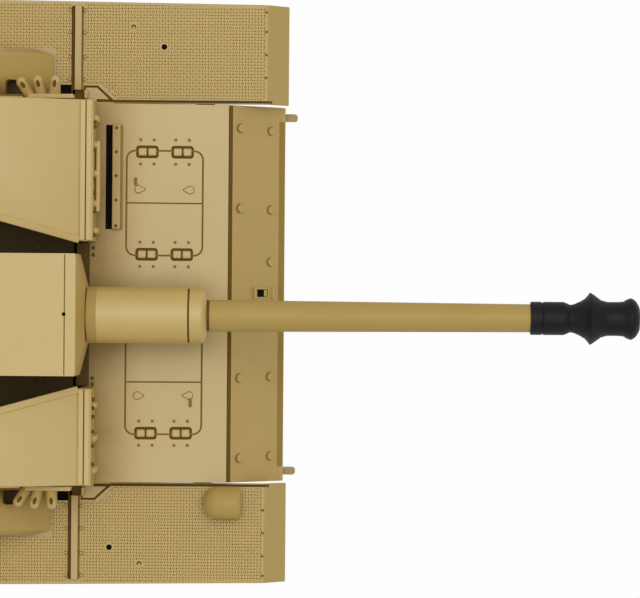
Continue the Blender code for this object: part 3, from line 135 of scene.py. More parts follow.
class TankColours(bpy.types.PropertyGroup):
    """Base colours of the tank's finishes, and of the painted shade and painted sheen laid over them."""

    sand: colour_setting("Sand", "Main paint", (0.476, 0.322, 0.084))
    light_sand: colour_setting("Light sand", "Paint of the casemate", (0.520, 0.354, 0.094))
    gun_sand: colour_setting("Gun sand", "Paint of the gun", (0.545, 0.372, 0.098))
    dust: colour_setting("Dust", "Settled dust", (0.480, 0.380, 0.210))
    black: colour_setting("Black", "Moulded black plastic", (0.004, 0.004, 0.004))
    recess: colour_setting("Recess", "Shaded inside of the gun slot", (0.094, 0.066, 0.025))
    # Painted shade: dark brown laid at the casemate's foot, under the gun and in the sponson corners,
    # where shade falls.
    painted_shade: colour_setting("Grime", "Dark dirt in corners", (0.100, 0.048, 0.001))
    foot_shade: colour_setting("Foot dirt", "Dirt at the casemate's foot", (0.221, 0.117, 0.001))
    # Painted sheen: a pale colour laid on upward faces, where the overhead light falls.
    painted_sheen: colour_setting("Bloom", "Pale powder on level faces", (0.690, 0.575, 0.285))
    # Painted shade: dark brown for deep gaps, holes, slots and small dark dots.
    groove: colour_setting("Groove", "Dirt in deep gaps", (0.150, 0.088, 0.018))
    # Painted shade: lighter brown for shallow lines and the rims round bolts and catches.
    seam: colour_setting("Seam", "Dirt in shallow panel lines", (0.270, 0.176, 0.050))
    rubber: colour_setting("Rubber", "Wheel tyres", (0.030, 0.029, 0.028))
    links: colour_setting("Links", "Track links", (0.060, 0.052, 0.044))


class TankSizes(bpy.types.PropertyGroup):
    """Sizes of the small fittings."""

    edge: length_setting("Edge", "Softening of plate edges", 0.00035, 0.0001, 0.001)
    groove: length_setting("Groove", "Width of panel lines", 0.0006, 0.0002, 0.002)
    bolt: length_setting("Bolt", "Radius of a large bolt head", 0.0014, 0.0005, 0.003)
    rivet: length_setting("Rivet", "Radius of a rivet head", 0.0005, 0.0002, 0.001)
    tread_pitch: length_setting("Tread pitch", "Diamond pitch of the tread plate", 0.00195, 0.001, 0.006)
    link_pitch: length_setting("Link pitch", "Length of one track link", 0.0072, 0.004, 0.02)
    facets: IntProperty(
        name="Facets", description="Steps round a turned piece", default=48, min=12, max=96
    )


class TankStage(bpy.types.PropertyGroup):
    """Camera and light."""

    height: length_setting("Height", "Camera above the fenders", 1.1, 0.3, 5)
    ahead: length_setting("Ahead", "Camera ahead of the fenders", 0.0104, -0.5, 0.5)
    aside: length_setting("Aside", "Camera left of the middle", -0.0014, -0.5, 0.5)
    roll: FloatProperty(
        name="Roll", description="Camera turn about its view", subtype="ANGLE",
        default=math.radians(0.46), min=-1, max=1
    )
    pixels_per_metre: FloatProperty(
        name="Pixels per metre", description="Picture scale at the fenders",
        default=3170, min=100, max=20000
    )
    key: FloatProperty(
        name="Key", description="Power of the overhead light", subtype="POWER",
        default=11.0, min=0, max=200
    )
    ambient: FloatProperty(
        name="Ambient", description="Light from all round", default=0.46, min=0, max=2
    )


def colours():
    return bpy.context.scene.tank_colours


def sizes():
    return bpy.context.scene.tank_sizes


# Places

def hull_point(x, y, z):
    """A bench place in the shared frame."""
    return Vector((FRONT + x, y, z))


def slope_height(plate, x):
    """Height of a sloped plate at a bench x."""
    (x0, z0), (x1, z1) = plate
    return z0 + (z1 - z0) * (x - x0) / (x1 - x0)


def on_slope(plate, x, y):
    """Frame on a sloped plate: Z is its outward normal, and X runs down it to the front."""
    (x0, z0), (x1, z1) = plate
    pitch = math.atan2(z1 - z0, x0 - x1)
    return on_level(x, y, slope_height(plate, x)) @ Matrix.Rotation(pitch, 4, "Y")


def on_level(x, y, z):
    """Frame on a level plate."""
    return Matrix.Translation(hull_point(x, y, z))


def facing_front(x, y, z):
    """Frame on an upright plate that faces the front: Z points forward."""
    return on_level(x, y, z) @ Matrix.Rotation(math.radians(90), 4, "Y")


def facing_rear(x, y, z):
    """Frame on an upright plate that faces the rear: Z points back."""
    return on_level(x, y, z) @ Matrix.Rotation(math.radians(-90), 4, "Y")


# Modelling

def start_clean():
    """Object mode with nothing selected."""
    if bpy.context.object and bpy.context.object.mode != "OBJECT":
        bpy.ops.object.mode_set(mode="OBJECT")
    bpy.ops.object.select_all(action="DESELECT")


def only(piece):
    start_clean()
    piece.select_set(True)
    bpy.context.view_layer.objects.active = piece


def edit(piece):
    only(piece)
    bpy.ops.object.mode_set(mode="EDIT")
    bpy.ops.mesh.select_mode(type="VERT")
    bpy.ops.mesh.select_all(action="SELECT")


def leave_edit():
    bpy.ops.object.mode_set(mode="OBJECT")


def pick_faces(piece, test):
    """Selects the faces whose centre and normal pass a test, in face mode."""
    edit(piece)
    bpy.ops.mesh.select_mode(type="FACE")
    bpy.ops.mesh.select_all(action="DESELECT")
    leave_edit()
    for face in piece.data.polygons:
        face.select = test(face.center, face.normal)
    bpy.ops.object.mode_set(mode="EDIT")


def bake_place(piece):
    only(piece)
    bpy.ops.object.transform_apply(location=True, rotation=True, scale=True)


def block(low, high, bevel=0.0002, segments=2):
    """A box between two corners, with its edges softened."""
    low, high = Vector(low), Vector(high)
    start_clean()
    bpy.ops.mesh.primitive_cube_add(size=1, location=(low + high) / 2)
    piece = bpy.context.object
    piece.scale = [abs(a) for a in high - low]
    bake_place(piece)
    edit(piece)
    bpy.ops.mesh.bevel(offset=bevel, segments=segments, affect="EDGES")
    leave_edit()
    return piece


def pick_points(piece, test):
    """Selects the points that pass a test, and stays in edit mode."""
    edit(piece)
    bpy.ops.mesh.select_all(action="DESELECT")
    leave_edit()
    for vertex in piece.data.vertices:
        vertex.select = test(vertex.co)
    bpy.ops.object.mode_set(mode="EDIT")


def pinch(piece, test, factor):
    """Scales the points that pass a test about the origin."""
    pick_points(piece, test)
    bpy.ops.transform.resize(value=factor, center_override=ORIGIN)
    leave_edit()


def wire(points):
    """A new mesh of edges from point to point, left in edit mode with all of it selected."""
    start_clean()
    bpy.ops.mesh.primitive_plane_add(size=0.001, location=points[0])
    piece = bpy.context.object
    bake_place(piece)
    edit(piece)
    bpy.ops.mesh.merge(type="CENTER")
    for here, there in zip(points, points[1:]):
        bpy.ops.mesh.extrude_region_move(TRANSFORM_OT_translate={"value": there - here})
    bpy.ops.mesh.select_all(action="SELECT")
    return piece


def plate(outline, low, high):
    """A flat plate over plan points, between two heights."""
    piece = wire([Vector((x, y, low)) for x, y in outline])
    bpy.ops.mesh.edge_face_add()
    bpy.ops.mesh.extrude_region_move(TRANSFORM_OT_translate={"value": (0, 0, high - low)})
    bpy.ops.mesh.select_all(action="SELECT")
    bpy.ops.mesh.normals_make_consistent(inside=False)
    leave_edit()
    return piece


def pad(size, place, low, high):
    """A softened box of some plan size on a place's plane, between two heights."""
    half_x, half_y = size[0] / 2, size[1] / 2
    piece = block((-half_x, -half_y, low), (half_x, half_y, high), min(size) * PAD_BEVEL)
    piece.data.transform(place)
    return piece


def turned(profile, axis, centre, steps, closed=False):
    """A body turned about an axis from (radius, along) points, as a wire spun round."""
    along_of = {"X": Vector((1, 0, 0)), "Y": Vector((0, 1, 0)), "Z": Vector((0, 0, 1))}[axis]
    out_of = {"X": Vector((0, 0, 1)), "Y": Vector((1, 0, 0)), "Z": Vector((1, 0, 0))}[axis]
    centre = Vector(centre)
    points = [centre + out_of * radius + along_of * along for radius, along in profile]
    if closed:
        points.append(points[0])
    piece = wire(points)
    bpy.ops.mesh.spin(steps=steps, angle=math.tau, center=centre, axis=along_of)
    bpy.ops.mesh.select_all(action="SELECT")
    bpy.ops.mesh.remove_doubles(threshold=1e-6)
    bpy.ops.mesh.normals_make_consistent(inside=False)
    leave_edit()
    return piece


def disc_head(radius, height, sides):
    """A bolt or rivet head on the local XY plane, with a softened top."""
    start_clean()
    bpy.ops.mesh.primitive_cylinder_add(vertices=sides, radius=radius, depth=height * 2)
    piece = bpy.context.object
    pick_faces(piece, lambda centre, normal: normal.z > 0.9)
    bpy.ops.mesh.bevel(offset=min(radius, height) * HEAD_BEVEL, segments=2, affect="EDGES")
    leave_edit()
    return piece


def placed_copy(model, place):
    """A copy of a model, with its own mesh, at a place."""
    piece = model.copy()
    piece.data = model.data.copy()
    piece.data.transform(place)
    bpy.context.scene.collection.objects.link(piece)
    return piece


def copies(model, places):
    """Copies of a model at each place, joined into one object. The model itself goes."""
    start_clean()
    made = [placed_copy(model, place) for place in places]
    bpy.data.objects.remove(model)
    return joined(made)


def joined(pieces):
    start_clean()
    for piece in pieces:
        piece.select_set(True)
    bpy.context.view_layer.objects.active = pieces[0]
    if len(pieces) > 1:
        bpy.ops.object.join()
    return bpy.context.object


def trim(piece, spot, away):
    """Cuts off what lies past a plane and closes the cut."""
    edit(piece)
    bpy.ops.mesh.bisect(plane_co=spot, plane_no=away, use_fill=True, clear_outer=True)
    leave_edit()


def cut(piece, cutter):
    """Cuts a shape out of a piece."""
    only(piece)
    bpy.ops.object.modifier_add(type="BOOLEAN")
    modifier = piece.modifiers[-1]
    modifier.operation = "DIFFERENCE"
    modifier.solver = "EXACT"
    modifier.object = cutter
    bpy.ops.object.modifier_apply(modifier=modifier.name)
    bpy.data.objects.remove(cutter)


def soften(piece, width, segments=2):
    """Rounds the sharp edges of a piece."""
    only(piece)
    bpy.ops.object.modifier_add(type="BEVEL")
    modifier = piece.modifiers[-1]
    modifier.width = width
    modifier.segments = segments
    modifier.limit_method = "ANGLE"
    modifier.angle_limit = math.radians(28)
    modifier.use_clamp_overlap = True
    bpy.ops.object.modifier_apply(modifier=modifier.name)


def copy_of(node):
    """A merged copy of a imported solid, ready to be worked on."""
    source = frame["nodes"][node]
    piece = source.copy()
    piece.data = source.data.copy()
    piece.parent = None
    for key in list(piece.keys()):
        del piece[key]
    bpy.context.scene.collection.objects.link(piece)
    edit(piece)
    bpy.ops.mesh.remove_doubles(threshold=1e-6)
    bpy.ops.mesh.dissolve_limited(angle_limit=math.radians(0.5))
    leave_edit()
    return piece


def settle(piece, name, material, body="hull", replaces=()):
    """Names a finished piece, paints it and sets it on its body."""
    bake_place(piece)
    piece.name = name
    piece.data.name = name
    piece.data.materials.clear()
    piece.data.materials.append(material)
    bpy.ops.object.shade_smooth_by_angle(angle=SMOOTH_ANGLE)
    bpy.ops.object.modifier_add(type="WEIGHTED_NORMAL")
    piece.modifiers[-1].keep_sharp = True
    bpy.ops.object.modifier_apply(modifier=piece.modifiers[-1].name)
    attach(piece, body)
    if replaces:
        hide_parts(*replaces)
    return piece


def body_of_node(node):
    return frame["nodes"][node]["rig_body"]


def dressed(node, material, width):
    """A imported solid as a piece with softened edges."""
    piece = copy_of(node)
    soften(piece, width)
    return settle(piece, node + "_shell", material, body_of_node(node), [node])


# Finishes

def feed(tree, socket, value):
    """Links an output to a socket, or sets the socket to a plain value."""
    if isinstance(value, bpy.types.NodeSocket):
        tree.links.new(value, socket)
    else:
        socket.default_value = value


def add_node(tree, kind, **inputs):
    """A shader node with some of its inputs fed by name."""
    made = tree.nodes.new(kind)
    for name, value in inputs.items():
        feed(tree, made.inputs[name.replace("_", " ")], value)
    return made


def computed(tree, operation, first, second=None):
    """Output of a math node on one or two values."""
    made = tree.nodes.new("ShaderNodeMath")
    made.operation = operation
    feed(tree, made.inputs[0], first)
    if second is not None:
        feed(tree, made.inputs[1], second)
    return made.outputs[0]


def mapped(tree, value, smooth=False, **limits):
    """Output of a node that maps a value from one range onto another."""
    made = add_node(tree, "ShaderNodeMapRange", Value=value, **limits)
    if smooth:
        made.interpolation_type = "SMOOTHSTEP"
    return made.outputs["Result"]


def blended(tree, mask, base, colour):
    """Output of a node that lays a colour over another where a mask says so."""
    made = tree.nodes.new("ShaderNodeMix")
    made.data_type = "RGBA"
    feed(tree, made.inputs["B"], (*colour, 1.0))
    feed(tree, made.inputs["Factor"], mask)
    feed(tree, made.inputs["A"], base)
    return made.outputs["Result"]


def effect(name, inputs, outputs):
    """An empty shader node group: a socket called Color takes a colour, and the others take a number."""
    group = bpy.data.node_groups.new(name, "ShaderNodeTree")
    for way, sockets in (("INPUT", inputs), ("OUTPUT", outputs)):
        for socket in sockets:
            kind = "NodeSocketColor" if socket == "Color" else "NodeSocketFloat"
            group.interface.new_socket(name=socket, in_out=way, socket_type=kind)
    return group, group.nodes.new("NodeGroupInput"), group.nodes.new("NodeGroupOutput")


def give_mask(group, inside, outside, spread):
    """Hands out a group's mask: its spread times its Amount, held within 0 and 1."""
    amount = computed(group, "MULTIPLY", spread, inside.outputs["Amount"])
    amount.node.use_clamp = True
    feed(group, outside.inputs["Mask"], amount)


def mottle_effect():
    """Slow light and dark drift with fine speckle, as sprayed paint or moulded plastic has."""
    group = bpy.data.node_groups.get("Sprayed Mottle")
    if group:
        return group
    group, inside, outside = effect("Sprayed Mottle", ["Color", "Drift", "Speckle"], ["Color", "Height"])
    place = group.nodes.new("ShaderNodeTexCoord").outputs["Object"]
    slow = add_node(group, "ShaderNodeTexNoise", Vector=place, Scale=55.0, Detail=4.0, Roughness=0.6)
    fine = add_node(group, "ShaderNodeTexNoise", Vector=place, Scale=1900.0, Detail=2.0, Roughness=0.7)
    level = 1.0
    for noise, amount in ((slow, "Drift"), (fine, "Speckle")):
        centred = computed(group, "SUBTRACT", noise.outputs["Fac"], 0.5)
        change = computed(group, "MULTIPLY", centred, inside.outputs[amount])
        level = computed(group, "ADD", level, change)
    tint = group.nodes.new("ShaderNodeVectorMath")
    tint.operation = "SCALE"
    feed(group, tint.inputs[0], inside.outputs["Color"])
    feed(group, tint.inputs["Scale"], level)
    feed(group, outside.inputs["Color"], tint.outputs[0])
    feed(group, outside.inputs["Height"], fine.outputs["Fac"])
    return group


def worn_and_lit_edge_effect():
    """Mask of the outer edges, broken up by noise: partly edge wear, partly a painted highlight where
    edges catch the light.
    """
    group = bpy.data.node_groups.get("Worn Edges")
    if group:
        return group
    group, inside, outside = effect("Worn Edges", ["Width"], ["Mask"])
    place = group.nodes.new("ShaderNodeTexCoord").outputs["Object"]
    rounded = add_node(group, "ShaderNodeBevel", Radius=inside.outputs["Width"])
    rounded.samples = 4
    flat = group.nodes.new("ShaderNodeNewGeometry")
    apart = group.nodes.new("ShaderNodeVectorMath")
    apart.operation = "DOT_PRODUCT"
    feed(group, apart.inputs[0], rounded.outputs["Normal"])
    feed(group, apart.inputs[1], flat.outputs["Normal"])
    band = mapped(group, apart.outputs["Value"], From_Min=0.98, From_Max=0.80)
    noise = add_node(group, "ShaderNodeTexNoise", Vector=place, Scale=420.0, Detail=3.0)
    feed(group, outside.inputs["Mask"], computed(group, "MULTIPLY", band, noise.outputs["Fac"]))
    return group


def dust_effect():
    """Mask of patchy dust that thins out with height."""
    group = bpy.data.node_groups.get("Settled Dust")
    if group:
        return group
    group, inside, outside = effect("Settled Dust", ["Amount", "Fade Height"], ["Mask"])
    place = group.nodes.new("ShaderNodeTexCoord").outputs["Object"]
    noise = add_node(group, "ShaderNodeTexNoise", Vector=place, Scale=160.0, Detail=5.0, Roughness=0.65)
    split = add_node(group, "ShaderNodeSeparateXYZ", Vector=place)
    top = inside.outputs["Fade Height"]
    low = mapped(group, split.outputs["Z"], From_Max=top, To_Min=1.0, To_Max=0.15)
    give_mask(group, inside, outside, computed(group, "MULTIPLY", noise.outputs["Fac"], low))
    return group


def painted_sheen_effect():
    """Mask of a painted sheen: a paler colour on faces that look up, where the overhead light falls."""
    group = bpy.data.node_groups.get("Upward Bloom")
    if group:
        return group
    group, inside, outside = effect("Upward Bloom", ["Amount"], ["Mask"])
    place = group.nodes.new("ShaderNodeTexCoord")
    split = add_node(group, "ShaderNodeSeparateXYZ", Vector=place.outputs["Normal"])
    upward = mapped(group, split.outputs["Z"], True, From_Min=0.78, From_Max=0.90)
    noise = add_node(group, "ShaderNodeTexNoise", Scale=45.0, Detail=3.0, Roughness=0.5)
    feed(group, noise.inputs["Vector"], place.outputs["Object"])
    patchy = mapped(group, noise.outputs["Fac"], To_Min=0.75, To_Max=1.25)
    give_mask(group, inside, outside, computed(group, "MULTIPLY", upward, patchy))
    return group


def corner_painted_shade_effect():
    """Mask of painted shade in a plan window: along X between two fades, and across Y out from a middle
    line.
    """
    group = bpy.data.node_groups.get("Corner Grime")
    if group:
        return group
    names = ["Amount", "Rear", "Front", "Front Clear", "Middle", "Inner", "Half", "Half Clear"]
    group, inside, outside = effect("Corner Grime", names, ["Mask"])
    place = group.nodes.new("ShaderNodeTexCoord").outputs["Object"]
    split = add_node(group, "ShaderNodeSeparateXYZ", Vector=place)
    aside = computed(group, "SUBTRACT", split.outputs["Y"], inside.outputs["Middle"])
    out = computed(group, "ABSOLUTE", aside)
    noise = add_node(group, "ShaderNodeTexNoise", Vector=place, Scale=130.0, Detail=3.0)
    mask = mapped(group, noise.outputs["Fac"], To_Min=0.7, To_Max=1.3)
    for value, start, full, clear in (
        (split.outputs["X"], "Rear", "Front", "Front Clear"),
        (out, "Inner", "Half", "Half Clear"),
    ):
        limits = {"From_Min": inside.outputs[full], "From_Max": inside.outputs[clear]}
        fade = mapped(group, value, True, To_Min=1.0, To_Max=0.0, **limits)
        past = computed(group, "GREATER_THAN", value, inside.outputs[start])
        mask = computed(group, "MULTIPLY", mask, computed(group, "MULTIPLY", fade, past))
    give_mask(group, inside, outside, mask)
    return group


def use_effect(tree, group, **inputs):
    """A group node of an effect, with its inputs set by name."""
    made = tree.nodes.new("ShaderNodeGroup")
    made.node_tree = group
    for name, value in inputs.items():
        feed(tree, made.inputs[name.replace("_", " ")], value)
    return made


WORN_AND_LIT_WIDTH = 0.0007
SMOOTHER, ROUGHER = 0.06, 0.10
GRAIN_STRENGTH = 0.6


def finish(name, colour, roughness, metallic=0.0, drift=0.10, speckle=0.05, bump=0.00002, wear_and_highlight=None,
           dust=0.0, fade=0.06, gloss=0.5, painted_sheen=0.0, painted_shade=()):
    """A finish with mottle and grain, and with edge wear that is partly a painted highlight, a painted
    sheen on upward faces, painted shade in corners and dust where they are asked for.
    """
    material = bpy.data.materials.get(name)
    if material:
        return material
    material = bpy.data.materials.new(name)
    material.use_nodes = True
    tree = material.node_tree
    shader = tree.nodes["Principled BSDF"]
    feed(tree, shader.inputs["Metallic"], metallic)
    mottle = use_effect(tree, mottle_effect(), Color=(*colour, 1.0), Drift=drift, Speckle=speckle)
    colour_now = mottle.outputs["Color"]
    # Edge wear and painted highlight: outer edges get a lighter colour.
    if wear_and_highlight:
        edges = use_effect(tree, worn_and_lit_edge_effect(), Width=WORN_AND_LIT_WIDTH)
        colour_now = blended(tree, edges.outputs["Mask"], colour_now, wear_and_highlight)
    # Painted sheen: upward faces are paled as the overhead light shows them.
    if painted_sheen:
        powder = use_effect(tree, painted_sheen_effect(), Amount=painted_sheen)
        colour_now = blended(tree, powder.outputs["Mask"], colour_now, colours().painted_sheen)
    gloss_now = gloss
    # Painted shade: each window darkens the colour and dulls the gloss where shade falls.
    for tint, window in painted_shade:
        corner = use_effect(tree, corner_painted_shade_effect(), **window)
        colour_now = blended(tree, corner.outputs["Mask"], colour_now, tint)
        dull = add_node(tree, "ShaderNodeMix", Factor=corner.outputs["Mask"], A=gloss_now, B=0.0)
        gloss_now = dull.outputs["Result"]
    feed(tree, shader.inputs["Specular IOR Level"], gloss_now)
    rough_by = mottle.outputs["Height"]
    if dust:
        settled = use_effect(tree, dust_effect(), Amount=dust, Fade_Height=fade)
        rough_by = settled.outputs["Mask"]
        colour_now = blended(tree, rough_by, colour_now, colours().dust)
    feed(tree, shader.inputs["Base Color"], colour_now)
    rough = mapped(tree, rough_by, To_Min=roughness - SMOOTHER, To_Max=roughness + ROUGHER)
    feed(tree, shader.inputs["Roughness"], rough)
    grain = add_node(tree, "ShaderNodeBump", Strength=GRAIN_STRENGTH, Distance=bump)
    feed(tree, grain.inputs["Height"], mottle.outputs["Height"])
    feed(tree, shader.inputs["Normal"], grain.outputs["Normal"])
    return material


def lighter(colour, factor):
    """A colour scaled as a whole."""
    return tuple(min(1.0, part * factor) for part in colour)


def tinted(colour, *factors):
    """A colour with each of its parts scaled."""
    return tuple(part * factor for part, factor in zip(colour, factors))


def painted_shade_window(amount, rear, front, clear, middle=0.0, inner=-1.0, half=1.0, half_clear=2.0):
    """Settings of the painted corner shade from bench places."""
    return {
        "Amount": amount, "Rear": FRONT + rear, "Front": FRONT + front, "Front_Clear": FRONT + clear,
        "Middle": middle, "Inner": inner, "Half": half, "Half_Clear": half_clear,
    }


def hull_paint():
    """Sand with painted shade at the casemate's foot and under the gun, where shade falls."""
    sand = colours().sand
    back = CASEMATE_FRONT - 0.0040
    foot = painted_shade_window(0.55, back, CASEMATE_FRONT, CASEMATE_FRONT + 0.0170)
    under_gun = painted_shade_window(0.29, back, -0.0300, -0.0180, GUN_Y, -1.0, 0.0070, 0.0160)
    return finish(
        "hull_sand_paint", sand, 0.44, drift=0.14, wear_and_highlight=lighter(sand, 1.28), gloss=0.7, painted_sheen=0.28,
        painted_shade=((colours().foot_shade, foot), (colours().painted_shade, under_gun)),
    )


def casemate_paint():
    """Lighter sand with painted shade in the corners behind the smoke dischargers."""
    sand = colours().light_sand
    corner = painted_shade_window(0.86, -0.0900, -0.0745, -0.0700, 0.0, HALF_DECK + 0.0002, 0.0600, 0.0690)
    return finish(
        "casemate_sand_paint", sand, 0.46, drift=0.10, wear_and_highlight=lighter(sand, 1.24), gloss=0.6, painted_sheen=0.30,
        painted_shade=((colours().painted_shade, corner),),
    )


def fitting_paint():
    """Sand of the small fittings that stand free and get no painted sheen."""
    sand = tinted(colours().light_sand, 1.05, 1.10, 1.45)
    return finish("fitting_sand_paint", sand, 0.5, drift=0.10, wear_and_highlight=lighter(sand, 1.2), gloss=0.4)


def fender_paint():
    sand = lighter(colours().sand, 0.97)
    wear_and_highlight = lighter(sand, 1.25)
    return finish("fender_sand_paint", sand, 0.48, drift=0.12, wear_and_highlight=wear_and_highlight, gloss=0.7, painted_sheen=0.15)


def gun_paint():
    sand = colours().gun_sand
    wear_and_highlight = lighter(sand, 1.22)
    return finish("gun_sand_paint", sand, 0.44, drift=0.08, wear_and_highlight=wear_and_highlight, gloss=0.7, painted_sheen=0.15)


# Painted shade: the gun sand darkened for round pieces, whose sides turn from the light.
def barrel_shaded_paint():
    sand = lighter(colours().gun_sand, 0.84)
    return finish("barrel_sand_paint", sand, 0.50, drift=0.08, gloss=0.3)


# Painted shade: the tread's valleys are a darker copy of the sand.
def tread_shade():
    return finish("tread_valley_paint", tinted(colours().sand, 0.92, 0.94, 0.87), 0.60)


# Painted light: the tread's ridges are a lighter copy of the sand.
def tread_lit_paint():
    sand = lighter(colours().sand, 1.15)
    wear_and_highlight = lighter(sand, 1.15)
    return finish("tread_ridge_paint", sand, 0.46, drift=0.10, wear_and_highlight=wear_and_highlight, gloss=0.7, painted_sheen=0.22)


# Painted shade: a darker copy of the sand for faces that turn away from the light.
def nose_lip_paint():
    return finish("nose_lip_paint", tinted(colours().sand, 0.70, 0.66, 0.58), 0.6, gloss=0.2)


# Painted shade: dark brown laid in grooves, gaps, holes and slots, and on small dark dots, where shade
# falls.
def groove_shade():
    return finish("groove_dirt", colours().groove, 0.8, drift=0.2, speckle=0.1, gloss=0.1)


# Painted shade: lighter brown for shallow lines and the rims round bolts and catches. It is also the
# dark colour of the rivets and catch arms.
def seam_shade():
    return finish("seam_dirt", colours().seam, 0.75, drift=0.2, speckle=0.1, gloss=0.1)


# Painted shadow: darker gun sand for the sleeve's root, where the mantlet shades it.
def sleeve_root_paint():
    sand = lighter(colours().gun_sand, 0.76)
    return finish("sleeve_root_paint", sand, 0.6, drift=0.12, gloss=0.3)


# Painted shade: the sand as it looks in the gun slot's shade, for the sill and the cradle's screws.
def slot_screw_brown():
    return finish("slot_screw_brown", (0.135, 0.078, 0.024), 0.6, drift=0.2, gloss=0.05)


def running_gear_paint():
    sand = lighter(colours().sand, 0.86)
    wear_and_highlight = lighter(sand, 1.35)
    return finish("running_gear_paint", sand, 0.60, drift=0.22, wear_and_highlight=wear_and_highlight, dust=0.55, fade=0.07)


def black_plastic():
    grey = (0.018, 0.018, 0.018)
    return finish("moulded_black", colours().black, 0.5, drift=0.2, speckle=0.2, wear_and_highlight=grey, gloss=0.18)


# Painted shade: near black for gaps, holes and the strips laid where shade falls.
def gap_black():
    return finish("gap_black", (0.006, 0.005, 0.004), 0.8, drift=0.2, speckle=0.1, gloss=0.05)


def recess_black():
    return finish("slot_shade", colours().recess, 0.75, drift=0.3, speckle=0.2, gloss=0.2)


def tyre_rubber():
    return finish("tyre_rubber", colours().rubber, 0.72, drift=0.3, speckle=0.3, bump=0.00004, dust=0.35)


def link_metal():
    worn = (0.20, 0.18, 0.15)
    return finish("track_link_dark", colours().links, 0.52, 0.35, 0.4, 0.3, 0.00004, worn, 0.55, 0.05)


def arm_plastic():
    return finish("arm_moulding", (0.05, 0.045, 0.04), 0.5, drift=0.25, speckle=0.2, dust=0.4)


def battery_wrap():
    return finish("battery_wrap", (0.04, 0.10, 0.32), 0.28, drift=0.08, speckle=0.02, bump=0.00001)


def board_lacquer():
    return finish("board_lacquer", (0.02, 0.16, 0.06), 0.35, drift=0.2, speckle=0.25)


def gear_case_grey():
    return finish("gear_case_grey", (0.33, 0.33, 0.32), 0.5, drift=0.12, speckle=0.1)


def lamp_glass():
    """Pale, smooth lens."""
    return finish("lamp_glass", (0.72, 0.74, 0.72), 0.12, drift=0.06, speckle=0.02, bump=0.00001)


# Hull

GROOVE_DEPTH = 0.0009
SHADE_RISE = 0.0003
HATCH_CENTRES = ((-0.0387, 0.0283), (-0.0386, -0.0279))
HATCH_SIZE = (0.0246, 0.0335)
HATCH_CORNER = 0.0030
HINGE_SIZE = (0.0071, 0.0040)
HINGE_DEPTH = 0.0014
HINGE_CORNER = 0.0010
HINGE_SPREAD = 0.0055
HINGE_ACROSS = 0.0161
NOSE_GROOVE = (0.0013, 0.0010)
NOSE_BOLTS = (
    (-0.0148, 0.0523), (-0.0053, 0.0518), (-0.0148, 0.0270), (-0.0053, 0.0268), (-0.0053, 0.0102),
    (-0.0147, -0.0266), (-0.0052, -0.0262), (-0.0145, -0.0519), (-0.0050, -0.0515),
)
LUG_ROUND = 0.0009
KNUCKLE_HALF = (0.00136, 0.00124)
KNUCKLE_ALONG = 0.0015
RIVET_ALONG = 0.0021
RIVET_ACROSS = 0.0038
GUN_COVER = 0.0100
CATCH_ARMS = ((-0.0478, 0.0351, 0.0024), (-0.0302, -0.0343, 0.0028))
BRACKET_SPOT = (-0.0077, 0.0003)
BRACKET_HALF = 0.0037
BRACKET_WINDOW = ((-0.0027, -0.0012), (0.0018, 0.0012))
SPLASH_GUARD = (-0.0550, 0.0200, 0.0527)
SPLASH_BOLTS = (0.0517, 0.0442, 0.0367, 0.0291, 0.0210)


def hinge_places():
    """Bench x, y of every brake hatch hinge."""
    places = []
    for x, y in HATCH_CENTRES:
        for across in (HINGE_ACROSS, -HINGE_ACROSS):
            for along in (HINGE_SPREAD, -HINGE_SPREAD):
                places.append((x + along, y + across))
    return places


def rounded_pad(size, corner, place, low, high, frame_width=None):
    """A flat piece with round corners on a place's plane, between two heights, or only its frame."""
    start_clean()
    bpy.ops.mesh.primitive_plane_add(size=1)
    piece = bpy.context.object
    piece.scale = (*size, 1)
    bake_place(piece)
    edit(piece)
    bpy.ops.mesh.bevel(offset=corner, segments=6, affect="VERTICES")
    if frame_width:
        bpy.ops.mesh.inset(thickness=frame_width, use_outset=False)
        bpy.ops.mesh.delete(type="FACE")
    bpy.ops.mesh.select_all(action="SELECT")
    bpy.ops.mesh.extrude_region_move(TRANSFORM_OT_translate={"value": (0, 0, high - low)})
    bpy.ops.mesh.select_all(action="SELECT")
    bpy.ops.mesh.normals_make_consistent(inside=False)
    leave_edit()
    piece.data.transform(place @ Matrix.Translation((0, 0, low)))
    return piece


def hatch_frame(centre, low, high):
    """A brake hatch's rounded outline as a solid frame, between two heights over the glacis."""
    return rounded_pad(HATCH_SIZE, HATCH_CORNER, on_slope(GLACIS, *centre), low, high, sizes().groove)


